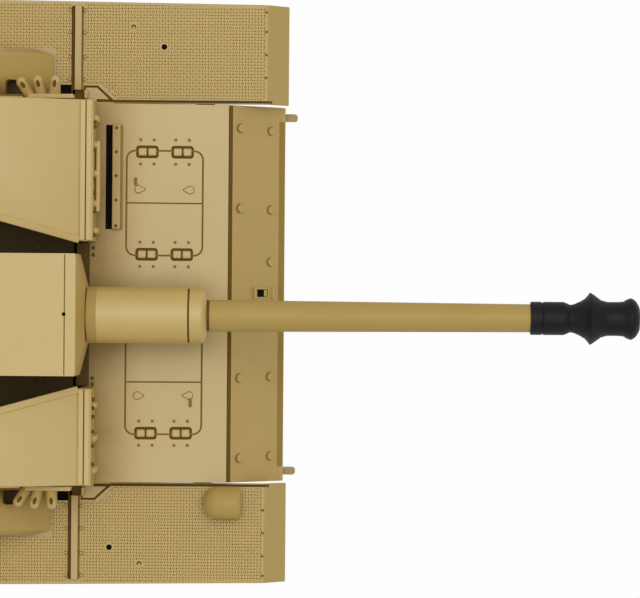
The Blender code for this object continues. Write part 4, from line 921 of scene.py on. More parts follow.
def make_hull():
    """Upper hull with its hatch lines, hinge recesses and nose groove, and the tub."""
    piece = copy_of("upper_hull")
    soften(piece, sizes().edge)
    # The fills laid at the bottoms of the hatch lines, hinge recesses and nose groove are painted shade.
    seams = []
    shades = []
    low, shade_low, shade_high = -GROOVE_DEPTH, -GROOVE_DEPTH - 0.0002, SHADE_RISE - GROOVE_DEPTH
    for centre in HATCH_CENTRES:
        cut(piece, hatch_frame(centre, low, GROOVE_DEPTH))
        seams.append(hatch_frame(centre, shade_low, shade_high))
        place = on_slope(GLACIS, *centre)
        split = (HATCH_SIZE[0] - 0.0008, sizes().groove * 0.8)
        cut(piece, pad(split, place, low, GROOVE_DEPTH))
        seams.append(pad(split, place, shade_low, shade_high))
    for spot in hinge_places():
        place = on_slope(GLACIS, *spot)
        cut(piece, rounded_pad(HINGE_SIZE, HINGE_CORNER, place, -HINGE_DEPTH, HINGE_DEPTH * 2))
        floor = SHADE_RISE * 2 - HINGE_DEPTH
        shades.append(rounded_pad(HINGE_SIZE, HINGE_CORNER, place, -HINGE_DEPTH - 0.0002, floor))
    wide, deep = NOSE_GROOVE
    place = on_level(GLACIS[0][0], 0, GLACIS[0][1])
    cut(piece, pad((wide, HALF_DECK * 2.2), place, -deep, deep * 2))
    shades.append(pad((wide, HALF_DECK * 1.998), place, -deep - 0.0004, SHADE_RISE - deep))
    settle(piece, "upper_hull_shell", hull_paint(), replaces=["upper_hull"])
    settle(joined(seams), "brake_hatch_seam_dirt", seam_shade())
    settle(joined(shades), "glacis_gap_dirt", groove_shade())
    make_tub()


def make_tub():
    """The tub, with the ends of its towing lugs rounded."""
    tub = copy_of("lower_hull")
    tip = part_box("lower_hull")[1].x - 0.0003
    pick_points(tub, lambda co: co.x > tip)
    bpy.ops.mesh.bevel(offset=LUG_ROUND, segments=4, affect="EDGES")
    leave_edit()
    soften(tub, sizes().edge)
    settle(tub, "lower_hull_shell", running_gear_paint(), replaces=["lower_hull"])


def make_glacis_fittings():
    """What sits on the glacis and the nose plate."""
    paint = hull_paint()
    make_hatch_fittings(paint)
    make_splash_guard(paint)
    make_nose_fittings(paint)
    arms = [pad((0.0009, long), on_slope(GLACIS, x, y), -0.0002, 0.0006) for x, y, long in CATCH_ARMS]
    settle(joined(arms), "brake_hatch_catch_arms", seam_shade())


def make_hatch_fittings(paint):
    """Hinge knuckles, the rivets that the gun leaves in view, and teardrop catches."""
    half_x, half_y = KNUCKLE_HALF
    knuckle = block((-half_x, -half_y, -0.0012), (half_x, half_y, 0.0006), 0.0005, 3)
    places = []
    rivets = []
    for x, y in hinge_places():
        places += [on_slope(GLACIS, x + along, y) for along in (-KNUCKLE_ALONG, KNUCKLE_ALONG)]
        for along in (-RIVET_ALONG, RIVET_ALONG):
            for across in (-RIVET_ACROSS, RIVET_ACROSS):
                if abs(y + across - GUN_Y) > GUN_COVER:
                    rivets.append(on_slope(GLACIS, x + along, y + across))
    settle(copies(knuckle, places), "brake_hatch_hinges", paint)
    settle(copies(disc_head(sizes().rivet, 0.0003, 8), rivets), "brake_hatch_rivets", seam_shade())
    settle(copies(catch_model(), catch_places()), "brake_hatch_catches", paint)
    # Painted shade: a flat darker outline round each catch.
    surround = catch_model()
    surround.data.transform(Matrix.Diagonal((1.16, 1.20, 0.4, 1)))
    settle(copies(surround, catch_places()), "brake_hatch_catch_dirt", seam_shade())


def make_nose_fittings(paint):
    """The nose plate's bolts with a painted shadow rim above each, the towing bracket with its hole in
    painted shade, and the lip as a strip of painted shade.
    """
    places = [on_slope(NOSE_PLATE, x, y) for x, y in NOSE_BOLTS]
    settle(copies(disc_head(sizes().bolt, 0.0007, 14), places), "nose_bolts", paint)
    # Painted shadow: a dark disc set a little up the slope behind each bolt.
    places = [on_slope(NOSE_PLATE, x - 0.0003, y) for x, y in NOSE_BOLTS]
    settle(copies(disc_head(0.0015, 0.0002, 16), places), "nose_bolt_dirt", seam_shade())
    spot = on_slope(NOSE_PLATE, *BRACKET_SPOT)
    low, high = BRACKET_WINDOW
    bars = []
    for x in (-BRACKET_HALF, BRACKET_HALF):
        bars.append(block((x - 0.0005, -0.0019, -0.001), (x + 0.0005, 0.0019, 0.0010), 0.0003))
    sheet = block((-BRACKET_HALF, -0.0017, -0.001), (BRACKET_HALF, 0.0017, 0.0003), 0.0003)
    cut(sheet, block((*low, -0.003), (*high, 0.003), 0.0002))
    bars.append(sheet)
    bars.append(block((0.0003, -0.0011, -0.001), (0.0016, 0.0011, 0.0002), 0.0002))
    bracket = joined(bars)
    bracket.data.transform(spot)
    settle(bracket, "tow_cable_bracket", paint)
    hole = block((*low, -0.0002), (*high, 0.00005), 0.0001)
    hole.data.transform(spot)
    settle(hole, "tow_cable_bracket_hole", gap_black())
    # Painted shade: a thin darker strip where the steep lip faces forward.
    lip = pad((0.0024, 0.1100), on_slope(NOSE_PLATE, -0.0021, 0), -0.0003, 0.00012)
    settle(lip, "nose_lip", nose_lip_paint())


def catch_model():
    """A teardrop hatch catch on the local XY plane, its point towards -X."""
    start_clean()
    bpy.ops.mesh.primitive_cylinder_add(vertices=20, radius=0.00115, depth=0.0008)
    piece = bpy.context.object
    pinch(piece, lambda co: co.x < -0.0004, (1.75, 0.60, 1))
    pick_faces(piece, lambda centre, normal: normal.z > 0.9)
    bpy.ops.mesh.bevel(offset=0.0002, segments=2, affect="EDGES")
    leave_edit()
    return piece


def catch_places():
    turn = Matrix.Rotation(math.radians(180), 4, "Z")
    places = []
    for (x, y), flip in zip(HATCH_CENTRES, (1, -1)):
        places.append(on_slope(GLACIS, x - 0.0082, y + flip * 0.0043) @ turn)
        places.append(on_slope(GLACIS, x + 0.0080, y + flip * 0.0042))
    return places


def make_splash_guard(paint):
    """The upright strip that shields the driver's plate, with a ledge in painted shade, a near-black
    strip of painted shadow beside it, and a row of dark bolts.
    """
    x, right, left = SPLASH_GUARD
    foot = slope_height(GLACIS, x)
    # The ledge is painted shade and the near-black strip is painted shadow.
    bars = (
        ("splash_guard", paint, "sand_paint", 0, 0.0026, -0.0004, 0.0030, 0.0003),
        ("splash_guard_ledge", nose_lip_paint(), "sand_paint", 0.0022, 0.0010, -0.0004, 0.0012, 0.0002),
        ("splash_guard_gutter", gap_black(), "black_plastic", -0.0021, 0.0021, -0.0002, 0.0006, 0.0001),
    )
    for name, material, slot, ahead, wide, lift, tall, soft in bars:
        bar = block(ORIGIN, (wide, left - right, tall), soft)
        bar.data.transform(on_level(x + ahead, right, foot + lift))
        settle(bar, name, material)
    places = [on_level(x + 0.0013, y, foot + 0.0026) for y in SPLASH_BOLTS]
    settle(copies(disc_head(0.0005, 0.0004, 8), places), "splash_guard_bolts", groove_shade())


# Fenders

TREAD_RISE = 0.00032
TREAD_HALF_BAR = 0.00030
RIB_BACK = -0.0665
GROOVES = (
    (-0.0590, -0.0052, 0.0601, 0.0609, 0.0012),
    (RIB_BACK - 0.0021, RIB_BACK - 0.0009, 0.0622, 0.0906, 0.0012),
    (RIB_BACK - 0.0018, RIB_BACK + 0.0018, 0.0594, 0.0640, 0.0012),
)
FLAP_HINGES = (0.0682, 0.0754, 0.0827, 0.0899)
SEAMS = (
    (RIB_BACK + 0.0012, RIB_BACK + 0.0017, 0.0640, 0.0906, 0.0005),
    *((-0.0087, -0.0067, y - 0.0004, y + 0.0004, 0.0005) for y in FLAP_HINGES),
)
GAP = (-0.0720, -0.0682, 0.0620, 0.0656)
NOTCH = ((-0.0647, 0.0594), (-0.0647, 0.0654), (-0.0602, 0.0654), (-0.0552, 0.0609), (-0.0552, 0.0594))
GUSSET = (
    (-0.0640, 0.0600), (-0.0640, 0.0647), (-0.0605, 0.0647),
    (-0.0566, 0.0611), (-0.0606, 0.0611), (-0.0606, 0.0600),
)
NOTCH_DEPTH = 0.0014
TAPER = 0.0011
TAPER_BACK = -0.0900
TAPER_FROM = 0.0880
TREAD_VALLEY = (-0.0003, 0.00006, 0.00003)
TREAD_MARGIN = 0.0008
TREAD_SHOULDER = 0.0772
RIB_BOLTS_ACROSS = (0.0890, 0.0821, 0.0743, 0.0672)
RIB_BOLTS_ALONG = (-0.0026, 0.0022)
HOLES = {1: ((-0.0393, 0.0777), (-0.0490, 0.0839)), -1: ((-0.0555, -0.0802), (-0.0460, -0.0853))}


def tread_panel(low, high, z):
    """Crossed diagonal ridges over a rectangle of the fender."""
    width, length = high[1] - low[1], high[0] - low[0]
    pitch = sizes().tread_pitch
    reach = width + length
    bars = []
    for lean in (45, -45):
        half = TREAD_HALF_BAR
        bar = block((-half, -width * 0.75, -0.0001), (half, width * 0.75, TREAD_RISE), half * 0.4, 1)
        bar.data.transform(Matrix.Rotation(math.radians(lean), 4, "Z"))
        only(bar)
        bpy.ops.object.modifier_add(type="ARRAY")
        row = bar.modifiers[-1]
        row.use_relative_offset = False
        row.use_constant_offset = True
        row.constant_offset_displace = (pitch, 0, 0)
        row.count = int(reach / pitch) + 3
        row.use_merge_vertices = False
        bpy.ops.object.modifier_apply(modifier=row.name)
        across = (low[1] + high[1]) / 2
        skew = math.copysign(across, lean * across) if across else 0
        start = math.floor((low[0] - width / 2 + skew) / pitch) * pitch - skew
        bar.data.transform(Matrix.Translation(hull_point(start, across, z)))
        bars.append(bar)
    piece = joined(bars)
    edges = (
        ((low[0], 0), (-1, 0, 0)), ((high[0], 0), (1, 0, 0)),
        ((0, low[1]), (0, -1, 0)), ((0, high[1]), (0, 1, 0)),
    )
    for (x, y), away in edges:
        trim(piece, hull_point(x, y, z), away)
    return piece


def tapered(piece, sign):
    """Draws a fender piece's outer edge in towards the front, as far as the real one narrows."""
    edit(piece)
    bpy.ops.mesh.bisect(plane_co=hull_point(TAPER_BACK, 0, 0), plane_no=(1, 0, 0))
    leave_edit()
    for vertex in piece.data.vertices:
        share = (vertex.co.x - FRONT - TAPER_BACK) / -TAPER_BACK
        if share > 0 and sign * vertex.co.y > TAPER_FROM:
            vertex.co.y -= sign * TAPER * min(share, 1)
    return piece


def make_fenders():
    paint = fender_paint()
    for side, sign in SIDES:
        node = "fender_" + side
        piece = copy_of(node)
        soften(piece, 0.0003)
        # The fills at the bottoms of the grooves, seams and notch are painted shade.
        shade_fills = []
        for rear, front, near, far, deep in GROOVES:
            cut(piece, fender_block(sign, rear, front, near, far, -deep, 0.004))
            shade_fills.append(fender_block(sign, rear, front, near, far, -deep - 0.0001, SHADE_RISE - deep))
        light_shade_fills = []
        for rear, front, near, far, deep in SEAMS:
            cut(piece, fender_block(sign, rear, front, near, far, -deep, deep * 3))
            light_shade_fills.append(fender_block(sign, rear, front, near, far, -deep - 0.0001, 0.0002 - deep))
        settle(tapered(joined(light_shade_fills), sign), node + "_seam_dirt", seam_shade())
        cut(piece, fender_block(sign, *GAP, -0.004, 0.004))
        gap = fender_block(sign, *GAP, -0.0022, -0.0010)
        settle(gap, node + "_gap_shade", gap_black())
        cut(piece, fender_plate(sign, NOTCH, -NOTCH_DEPTH, NOTCH_DEPTH))
        shade_fills.append(fender_plate(sign, NOTCH, -NOTCH_DEPTH - 0.0002, SHADE_RISE - NOTCH_DEPTH))
        settle(tapered(piece, sign), node + "_shell", paint, replaces=[node])
        settle(tapered(joined(shade_fills), sign), node + "_groove_dirt", groove_shade())
        make_fender_tread(side, sign)
        make_fender_fittings(side, sign, paint)


def fender_block(sign, rear, front, near, far, low, high, bevel=0.00005):
    """A box on one side's fender, with its heights from the fender's top."""
    start = hull_point(rear, sign * near, FENDER_TOP + low)
    return block(start, hull_point(front, sign * far, FENDER_TOP + high), bevel, 1)


def fender_plate(sign, outline, low, high):
    """A plate on one side's fender, with its heights from the fender's top."""
    points = [(FRONT + x, sign * y) for x, y in outline]
    return plate(points, FENDER_TOP + low, FENDER_TOP + high)


def make_fender_tread(side, sign):
    """Tread ridges in a lighter copy of the sand over valleys in a darker copy, as painted light and
    shade, ahead of the cross rib and along the outer band behind it.
    """
    inner, outer = FENDER_INNER + TREAD_MARGIN * 2, FENDER_OUTER - TREAD_MARGIN
    past_notch = RIB_BACK + 0.0118
    behind_rib = RIB_BACK - 0.0023
    tail = FENDER_REAR + REAR_FLAP_LENGTH + TREAD_MARGIN
    bands = [
        (past_notch, FLAP_BACK - TREAD_MARGIN, inner, outer),
        (RIB_BACK + 0.0022, past_notch, 0.0660, outer),
        (-0.0585, past_notch, 0.0648, 0.0660),
        (-0.0570, past_notch, 0.0634, 0.0648),
        (-0.0558, past_notch, 0.0622, 0.0634),
        (-0.0733, behind_rib, 0.0662, TREAD_SHOULDER),
        (CASEMATE_REAR, behind_rib, TREAD_SHOULDER, outer),
        (tail, CASEMATE_REAR, TREAD_SHOULDER - 0.0040, outer),
    ]
    panels = []
    valleys = []
    for rear, front, near, far in bands:
        low, high = sorted((sign * near, sign * far))
        panels.append(tread_panel((rear, low), (front, high), FENDER_TOP))
        valleys.append(fender_block(sign, rear, front, near, far, *TREAD_VALLEY))
    tread = joined(panels)
    slant = Vector((TAPER, sign * -TAPER_BACK, 0)).normalized()
    trim(tread, hull_point(TAPER_BACK, sign * outer, 0), slant)
    settle(tread, f"fender_{side}_tread", tread_lit_paint())
    settle(tapered(joined(valleys), sign), f"fender_{side}_tread_valleys", tread_shade())


def make_fender_fittings(side, sign, paint):
    """Rib bolts, drilled holes, the corner gusset and the post beside it."""
    bolt = disc_head(0.0005, 0.0005, 8)
    places = []
    for y in RIB_BOLTS_ACROSS:
        places += [on_level(RIB_BACK + x, sign * y, FENDER_TOP) for x in RIB_BOLTS_ALONG]
    settle(copies(bolt, places), f"fender_{side}_rib_bolts", paint)
    # Painted shade: a dark ring under each rib bolt.
    ring = disc_head(0.00068, 0.00042, 12)
    settle(copies(ring, places), f"fender_{side}_rib_bolt_painted_shade", seam_shade())
    holes = [on_level(x, y, FENDER_TOP) for x, y in HOLES[sign]]
    rims = copies(disc_head(0.0015, 0.00040, 20), holes)
    pin = disc_head(0.0006, 0.00062, 14)
    pin.data.transform(holes[1] @ Matrix.Translation((0, -0.0003, 0)))
    settle(joined([rims, pin]), f"fender_{side}_hole_rims", paint)
    plugs = [disc_head(0.0010, 0.00050, 16), disc_head(0.0009, 0.00050, 16)]
    for plug, place in zip(plugs, holes):
        plug.data.transform(place)
    settle(plugs[0], f"fender_{side}_hole", gap_black())
    settle(plugs[1], f"fender_{side}_pin_hole", groove_shade())
    gusset = fender_plate(sign, GUSSET, -NOTCH_DEPTH, -0.0004)
    post = fender_block(sign, -0.0645, -0.0631, 0.0612, 0.0640, -0.0010, 0.0012, 0.0003)
    strip = fender_block(sign, -0.0606, -0.0552, 0.0594, 0.0602, -NOTCH_DEPTH, -0.0003)
    settle(joined([gusset, post, strip]), f"fender_{side}_gusset", paint)


# Casemate

SLOT_FRONT_HALF = 0.0227
SLOT_REAR_HALF = 0.0354
SLOT_LENGTH = 0.0462
NICHE = (-0.0876, -0.0815, 0.0604, 0.0660)
ROOF_SCREW_SIDE = 0.0690
SPONSON_LEAN = 0.0030
FRONT_BOLTS = (0.0540, 0.0459, 0.0369, 0.0277, 0.0192, -0.0349, -0.0452, -0.0551)
FRONT_SHADE_DOTS = (
    0.0526, 0.0512, 0.0440, 0.0351, 0.0308, 0.0251, 0.0178,
    -0.0329, -0.0356, -0.0383, -0.0429, -0.0473, -0.0530,
)
FOOT_STUDS = (0.0141, 0.0119, -0.0268, -0.0286)


def make_casemate():
    """Casemate with a shaded niche in each sponson, its front plate, gun slot and roof."""
    paint = casemate_paint()
    piece = copy_of("casemate")
    soften(piece, 0.0005)
    rear, front, near, far = NICHE
    floors = []
    for sign in (1, -1):
        low = hull_point(rear, sign * near, FENDER_TOP + 0.008)
        cut(piece, block(low, hull_point(front, sign * far, ROOF), 0.0012, 4))
        high = hull_point(front + 0.001, sign * (far + 0.001), FENDER_TOP + 0.0098)
        floors.append(block(hull_point(rear - 0.001, sign * near, FENDER_TOP + 0.0085), high))
    settle(piece, "casemate_shell", paint, replaces=["casemate"])
    settle(joined(floors), "sponson_niche_floors", recess_black())
    make_front_plate(paint)
    make_slot_rims(paint)
    make_roof_fittings(paint)


def make_front_plate(paint):
    """Cap strips on the front plate's top with painted shade in their seam, its bolts with dots of
    painted shade, and the driver's visor with painted shade in the gap behind it.
    """
    caps = []
    seams = []
    slot = SLOT_FRONT_HALF + 0.0003
    edge = HALF_DECK - 0.0002
    for near, far in ((GUN_Y + slot, edge), (-edge, GUN_Y - slot)):
        for rear, front, rise in ((-0.0021, -0.0005, 0.0009), (-0.0040, -0.0024, 0.0006)):
            low = hull_point(CASEMATE_FRONT + rear, near, PLATE_TOP - 0.0003)
            caps.append(block(low, hull_point(CASEMATE_FRONT + front, far, PLATE_TOP + rise), 0.0002))
        # Painted shade: a dark strip between the cap strips.
        low = hull_point(CASEMATE_FRONT - 0.0027, near, PLATE_TOP - 0.0003)
        seams.append(block(low, hull_point(CASEMATE_FRONT - 0.0019, far, PLATE_TOP + 0.0002), 0.0001))
    settle(joined(caps), "front_plate_caps", paint)
    settle(joined(seams), "front_plate_cap_seams", groove_shade())
    z = PLATE_TOP - 0.0075
    bolt = disc_head(0.00125, 0.0012, 12)
    heights = (z, z - 0.0085)
    places = [facing_front(CASEMATE_FRONT, y, height) for y in FRONT_BOLTS for height in heights]
    settle(copies(bolt, places), "front_plate_bolts", paint)
    # Painted shade: dark dots under the plate's top edge beside the bolts.
    shade_dot = disc_head(0.0006, 0.0009, 8)
    places = [facing_front(CASEMATE_FRONT, y, PLATE_TOP - 0.0022) for y in FRONT_SHADE_DOTS]
    settle(copies(shade_dot, places), "front_plate_studs", groove_shade())
    places = [on_level(CASEMATE_FRONT - 0.0010, y, GLACIS[1][1]) for y in FOOT_STUDS]
    settle(copies(disc_head(0.0006, 0.0004, 8), places), "gun_slot_foot_studs", groove_shade())
    visor = block((0.0004, 0.0251, 0), (0.0017, 0.0471, 0.0062), 0.0005)
    visor_foot = on_level(CASEMATE_FRONT, 0, z - 0.0052)
    visor.data.transform(visor_foot)
    slit = facing_front(CASEMATE_FRONT + 0.0017, 0.0361, z - 0.0024)
    cut(visor, pad((0.0011, 0.0150), slit, -0.0006, 0.0016))
    settle(visor, "driver_visor", paint)
    # Painted shade: a dark strip in the gap between the visor and the plate.
    back = block((-0.0002, 0.0253, 0), (0.0006, 0.0469, 0.0056), 0.0001)
    back.data.transform(visor_foot)
    settle(back, "driver_visor_backing", groove_shade())


def make_slot_rims(paint):
    """Raised strips along the gun slot and the ramp's outer edges, the sill of the slot in brown painted
    shade, and a near-black strip of painted shade on the beam's front edge.
    """
    start_x, end_x = RAMP[0][0], CASEMATE_FRONT - SLOT_LENGTH
    strips = []
    for sign in (1, -1):
        near = GUN_Y + sign * (SLOT_FRONT_HALF + 0.0004)
        far = GUN_Y + sign * (SLOT_REAR_HALF - 0.0008)
        start, end = on_slope(RAMP, start_x, near), on_slope(RAMP, end_x, far)
        strips.append(strip_between(start.translation, end.translation, 0.0011, 0.0010, 0.0006))
        edge = sign * (HALF_DECK + 0.0004)
        start, end = on_slope(RAMP, -0.0808, edge), on_slope(RAMP, RAMP[1][0], edge)
        strips.append(strip_between(start.translation, end.translation, 0.0005, 0.0016, 0.0002))
    settle(joined(strips), "ramp_edge_strips", paint)
    half = SLOT_FRONT_HALF - 0.0002
    sill_low = hull_point(-0.0660, GUN_Y - half, GLACIS[1][1] - 0.0003)
    sill = block(sill_low, hull_point(-0.0619, GUN_Y + half, GLACIS[1][1] + 0.0002))
    settle(sill, "gun_slot_sill", slot_screw_brown())
    # Painted shade: a near-black strip over the front edge of the beam below the slot.
    beam_low = hull_point(-0.0672, GUN_Y - half, GLACIS[1][1] - 0.0080)
    beam = block(beam_low, hull_point(-0.0662, GUN_Y + half, GLACIS[1][1] - 0.0043), 0.0001)
    settle(beam, "gun_slot_beam_edge", gap_black())


def strip_between(start, end, half, below, above):
    """A softened strip of some half width from one place to another, with Z up."""
    run = end - start
    piece = block((0, -half, -below), (run.length, half, above), 0.0003)
    piece.data.transform(Matrix.Translation(start) @ run.to_track_quat("X", "Z").to_matrix().to_4x4())
    return piece


def make_roof_fittings(paint):
    """Ventilator cover, the roof's rows of screws, and the rivets of the casemate's sides and rear."""
    middle = hull_point(CASEMATE_REAR + 0.058, -0.004, 0)
    shape = [
        (0.0001, 0.0042), (0.0035, 0.0040), (0.0062, 0.0030),
        (0.0068, 0.0018), (0.0058, 0.0012), (0.0058, -0.0004),
    ]
    dome = turned([(radius, ROOF + rise) for radius, rise in shape], "Z", middle, 32)
    settle(dome, "roof_ventilator", paint)
    screw = disc_head(0.0008, 0.0004, 8)
    rear, front = CASEMATE_REAR + 0.004, RAMP[1][0] - 0.004
    places = []
    for i in range(7):
        x = rear + (front - rear) * i / 6
        places += [on_level(x, sign * ROOF_SCREW_SIDE, ROOF) for sign in (1, -1)]
    for i in range(1, 9):
        y = ROOF_SCREW_SIDE * (2 * i / 9 - 1)
        places.append(on_level(rear, y, ROOF))
    settle(copies(screw, places), "roof_screws", paint)
    places = []
    for z, front in ((FENDER_TOP + 0.0060, -0.0900), (ROOF - 0.0040, RAMP[1][0] - 0.0080)):
        start = CASEMATE_REAR + 0.0045
        for i in range(15):
            x = start + (front - start) * i / 14
            places += [on_sponson(sign, x, z) for sign in (1, -1)]
    settle(copies(disc_head(0.0008, 0.0005, 8), places), "sponson_side_rivets", paint)
    places = [facing_rear(CASEMATE_REAR, y / 1000, ROOF - 0.0040) for y in range(-66, 67, 12)]
    settle(copies(disc_head(0.0008, 0.0005, 8), places), "casemate_rear_rivets", paint)


def on_sponson(sign, x, z):
    """Frame on a sponson's leaning side: Z points away from the tank."""
    low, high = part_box("casemate")
    lean = SPONSON_LEAN / (high.z - low.z)
    tilt = Matrix.Rotation(-sign * (math.pi / 2 - math.atan(lean)), 4, "X")
    return on_level(x, sign * (high.y - lean * (z - low.z)), z) @ tilt


# Gun

MANTLET_CORNER = ((-0.0643, 0.0200), (-0.06075, 0.0070), (-0.0580, 0.0070), (-0.0580, 0.0200))
SLEEVE_RADIUS = 0.0086
SLEEVE_SHOULDER = 0.0020
SLEEVE_GAP = 0.0009
SLEEVE_RING = 0.0064
SLEEVE_ROOT = 0.0028
BARREL_RADIUS = 0.0049
BARREL_MUZZLE_RADIUS = 0.0043
BORE_RADIUS = 0.0033


def make_gun():
    """Mantlet, recoil sleeve, barrel and the black muzzle brake."""
    paint = gun_paint()
    facets = sizes().facets
    mantlet = copy_of("gun_mantlet")
    soften(mantlet, 0.0006, 3)
    line = MANTLET_HIGH.x - 0.0057
    half = (MANTLET_HIGH.y - MANTLET_LOW.y) / 2
    top = MANTLET_HIGH.z
    for sign in (1, -1):
        wedge = [(FRONT + x, GUN_Y + sign * y) for x, y in MANTLET_CORNER]
        cut(mantlet, plate(wedge, MANTLET_LOW.z - 0.002, top + 0.002))
    rear, front = line - 0.0002, line + 0.0002
    low = (rear, GUN_Y - half - 0.002, top - 0.0004)
    cut(mantlet, block(low, (front, GUN_Y + half + 0.002, top + 0.002), 0.00005))
    settle(mantlet, "gun_mantlet_shell", paint, "gun", replaces=["gun_mantlet"])
    # Painted shade: a fill just under the top of the seam cut.
    low = (rear, GUN_Y - half + 0.0004, top - 0.0006)
    seam = block(low, (front, GUN_Y + half - 0.0004, top - 0.00018), 0.00005)
    settle(seam, "gun_mantlet_seam_dirt", seam_shade(), "gun")
    hole = disc_head(0.0006, 0.00012, 12)
    hole.data.transform(on_level(-0.0671, GUN_Y + 0.0002, top))
    settle(hole, "gun_mantlet_hole", gap_black(), "gun")
    sleeve = turned(sleeve_profile(), "X", GUN_LINE, facets)
    settle(sleeve, "gun_sleeve_tube", paint, "gun", replaces=["gun_sleeve"])
    sleeve_bands()
    barrel = turned(barrel_profile(), "X", GUN_LINE, facets)
    settle(barrel, "gun_barrel_tube", barrel_shaded_paint(), "gun", replaces=["gun_barrel"])
    brake = turned(brake_profile(), "X", GUN_LINE, facets)
    settle(brake, "muzzle_brake_body", black_plastic(), "gun", ["muzzle_brake"])


def barrel_profile():
    """Section of the barrel: a neck in the sleeve, the tapered tube and the start of the bore."""
    end, muzzle = SLEEVE_HIGH.x, BRAKE_LOW.x
    neck = BARREL_RADIUS - 0.0004
    return [
        (neck, end - 0.004), (neck, end - 0.0003), (BARREL_RADIUS, end),
        (BARREL_MUZZLE_RADIUS, muzzle - 0.0004), (BARREL_MUZZLE_RADIUS - 0.0002, muzzle),
        (BORE_RADIUS, muzzle), (BORE_RADIUS, muzzle + 0.006),
    ]


def sleeve_profile():
    """Section of the recoil sleeve: spigot, tube with a ring line, and a rounded shoulder."""
    start, end = SLEEVE_LOW.x, SLEEVE_HIGH.x
    root = MANTLET_HIGH.x + 0.0003
    ring = end - SLEEVE_RING
    radius = SLEEVE_RADIUS
    shape = [
        (0.0060, start), (0.0060, root), (radius - 0.0003, root), (radius, root + 0.0004),
        (radius, ring - 0.00032), (radius - 0.0006, ring - 0.00030), (radius - 0.0006, ring + 0.00030),
        (radius, ring + 0.00032),
    ]
    mouth = BARREL_RADIUS + 0.0003
    for i in range(9):
        angle = math.radians(90 * i / 8)
        along = end - SLEEVE_GAP - SLEEVE_SHOULDER * (1 - math.sin(angle))
        shape.append((mouth + (radius - mouth) * math.cos(angle), along))
    return shape + [(mouth, end - 0.004)]


def band_section(low, high, start, stop):
    """Section of a flat ring, from its radii and its ends."""
    return [(low, start), (high, start), (high, stop), (low, stop)]


def sleeve_bands():
    """Painted shade in the ring line and barrel gap of the sleeve, and a darker band of painted shadow
    at its root, next to the mantlet.
    """
    facets = sizes().facets
    end = SLEEVE_HIGH.x
    ring = end - SLEEVE_RING
    low = SLEEVE_RADIUS - 0.0008
    # Painted shade: fills in the ring line and the barrel gap.
    line = band_section(low, low + 0.0004, ring - 0.0003, ring + 0.0003)
    gap = band_section(BARREL_RADIUS - 0.0006, BARREL_RADIUS - 0.0002, end - 0.003, end)
    bands = [turned(shape, "X", GUN_LINE, facets, True) for shape in (line, gap)]
    settle(joined(bands), "gun_sleeve_line_dirt", groove_shade(), "gun")
    start = MANTLET_HIGH.x + 0.0006
    shape = band_section(SLEEVE_RADIUS - 0.0002, SLEEVE_RADIUS + 0.00008, start, start + SLEEVE_ROOT)
    root = turned(shape, "X", GUN_LINE, facets, True)
    settle(root, "gun_sleeve_root_band", sleeve_root_paint(), "gun")


def brake_profile():
    """Section of the muzzle brake, as (radius in mm, share of its length), from collar to bore."""
    start, end = BRAKE_LOW.x, BRAKE_HIGH.x
    shape = [
        (4.3, 0.000), (4.9, 0.000), (5.1, 0.010), (5.1, 0.100), (4.85, 0.107), (4.85, 0.113),
        (5.1, 0.120), (5.1, 0.303), (4.7, 0.335), (4.3, 0.360), (4.24, 0.372), (4.5, 0.405),
        (5.34, 0.459), (6.16, 0.500), (7.25, 0.529), (7.9, 0.543), (8.0, 0.550), (7.9, 0.558),
        (7.18, 0.590), (5.75, 0.648), (5.2, 0.705), (5.2, 0.800), (5.34, 0.852), (6.0, 0.885),
        (6.36, 0.915), (6.36, 0.930), (5.8, 0.958), (5.0, 0.978), (4.2, 0.992), (3.6, 1.000),
        (3.3, 0.995), (3.3, 0.300),
    ]
    return [(radius * 0.001, start + (end - start) * share) for radius, share in shape]


# Smoke dischargers and lamp

TUBE_RADIUS = 0.0016
TUBE_LENGTH = 0.0075
TUBE_FAN = (9, -13, -31)
TUBE_RISE = 36
TUBE_FIRST = -0.0724
TUBE_PITCH = 0.0036


def make_smoke_dischargers():
    """A bracket a side with three round-ended tubes, each with a dark slot near its tip."""
    paint = fitting_paint()
    tube_model = smoke_tube()
    slot_model = disc_head(0.0013, 0.0004, 16)
    slot_model.data.transform(Matrix.Diagonal((0.44, 1, 1, 1)))
    for side, sign in SIDES:
        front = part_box("smoke_dischargers_" + side)[1].x
        top, near = PLATE_TOP - 0.0003, sign * (HALF_DECK + 0.0003)
        foot = top - 0.0062
        pieces = [block((front - 0.0142, near, foot), (front, near + sign * 0.0014, top), 0.0003)]
        slots = []
        for i, fan in enumerate(TUBE_FAN):
            place = on_level(TUBE_FIRST - TUBE_PITCH * i, near + sign * 0.0007, top - 0.0031)
            heading = Matrix.Rotation(-sign * math.radians(fan), 4, "Z")
            lean = Matrix.Rotation(-sign * math.radians(90 - TUBE_RISE), 4, "X")
            place = place @ heading @ lean
            pieces.append(placed_copy(tube_model, place))
            slots.append(placed_copy(slot_model, place @ slot_place(sign)))
        settle(joined(pieces), f"smoke_dischargers_{side}_tubes", paint,
               replaces=["smoke_dischargers_" + side])
        settle(joined(slots), f"smoke_dischargers_{side}_slots", groove_shade())
    bpy.data.objects.remove(tube_model)
    bpy.data.objects.remove(slot_model)


def slot_place(sign):
    """Frame on a tube's upper side near its tip: Z away from the tube, Y along it."""
    out = Vector((0, -sign, 0))
    along = Vector((0, 0, 1))
    across = along.cross(out)
    axes = Matrix((across, along, out)).transposed().to_4x4()
    return Matrix.Translation(out * (TUBE_RADIUS - 0.00032) + along * (TUBE_LENGTH - 0.0018)) @ axes


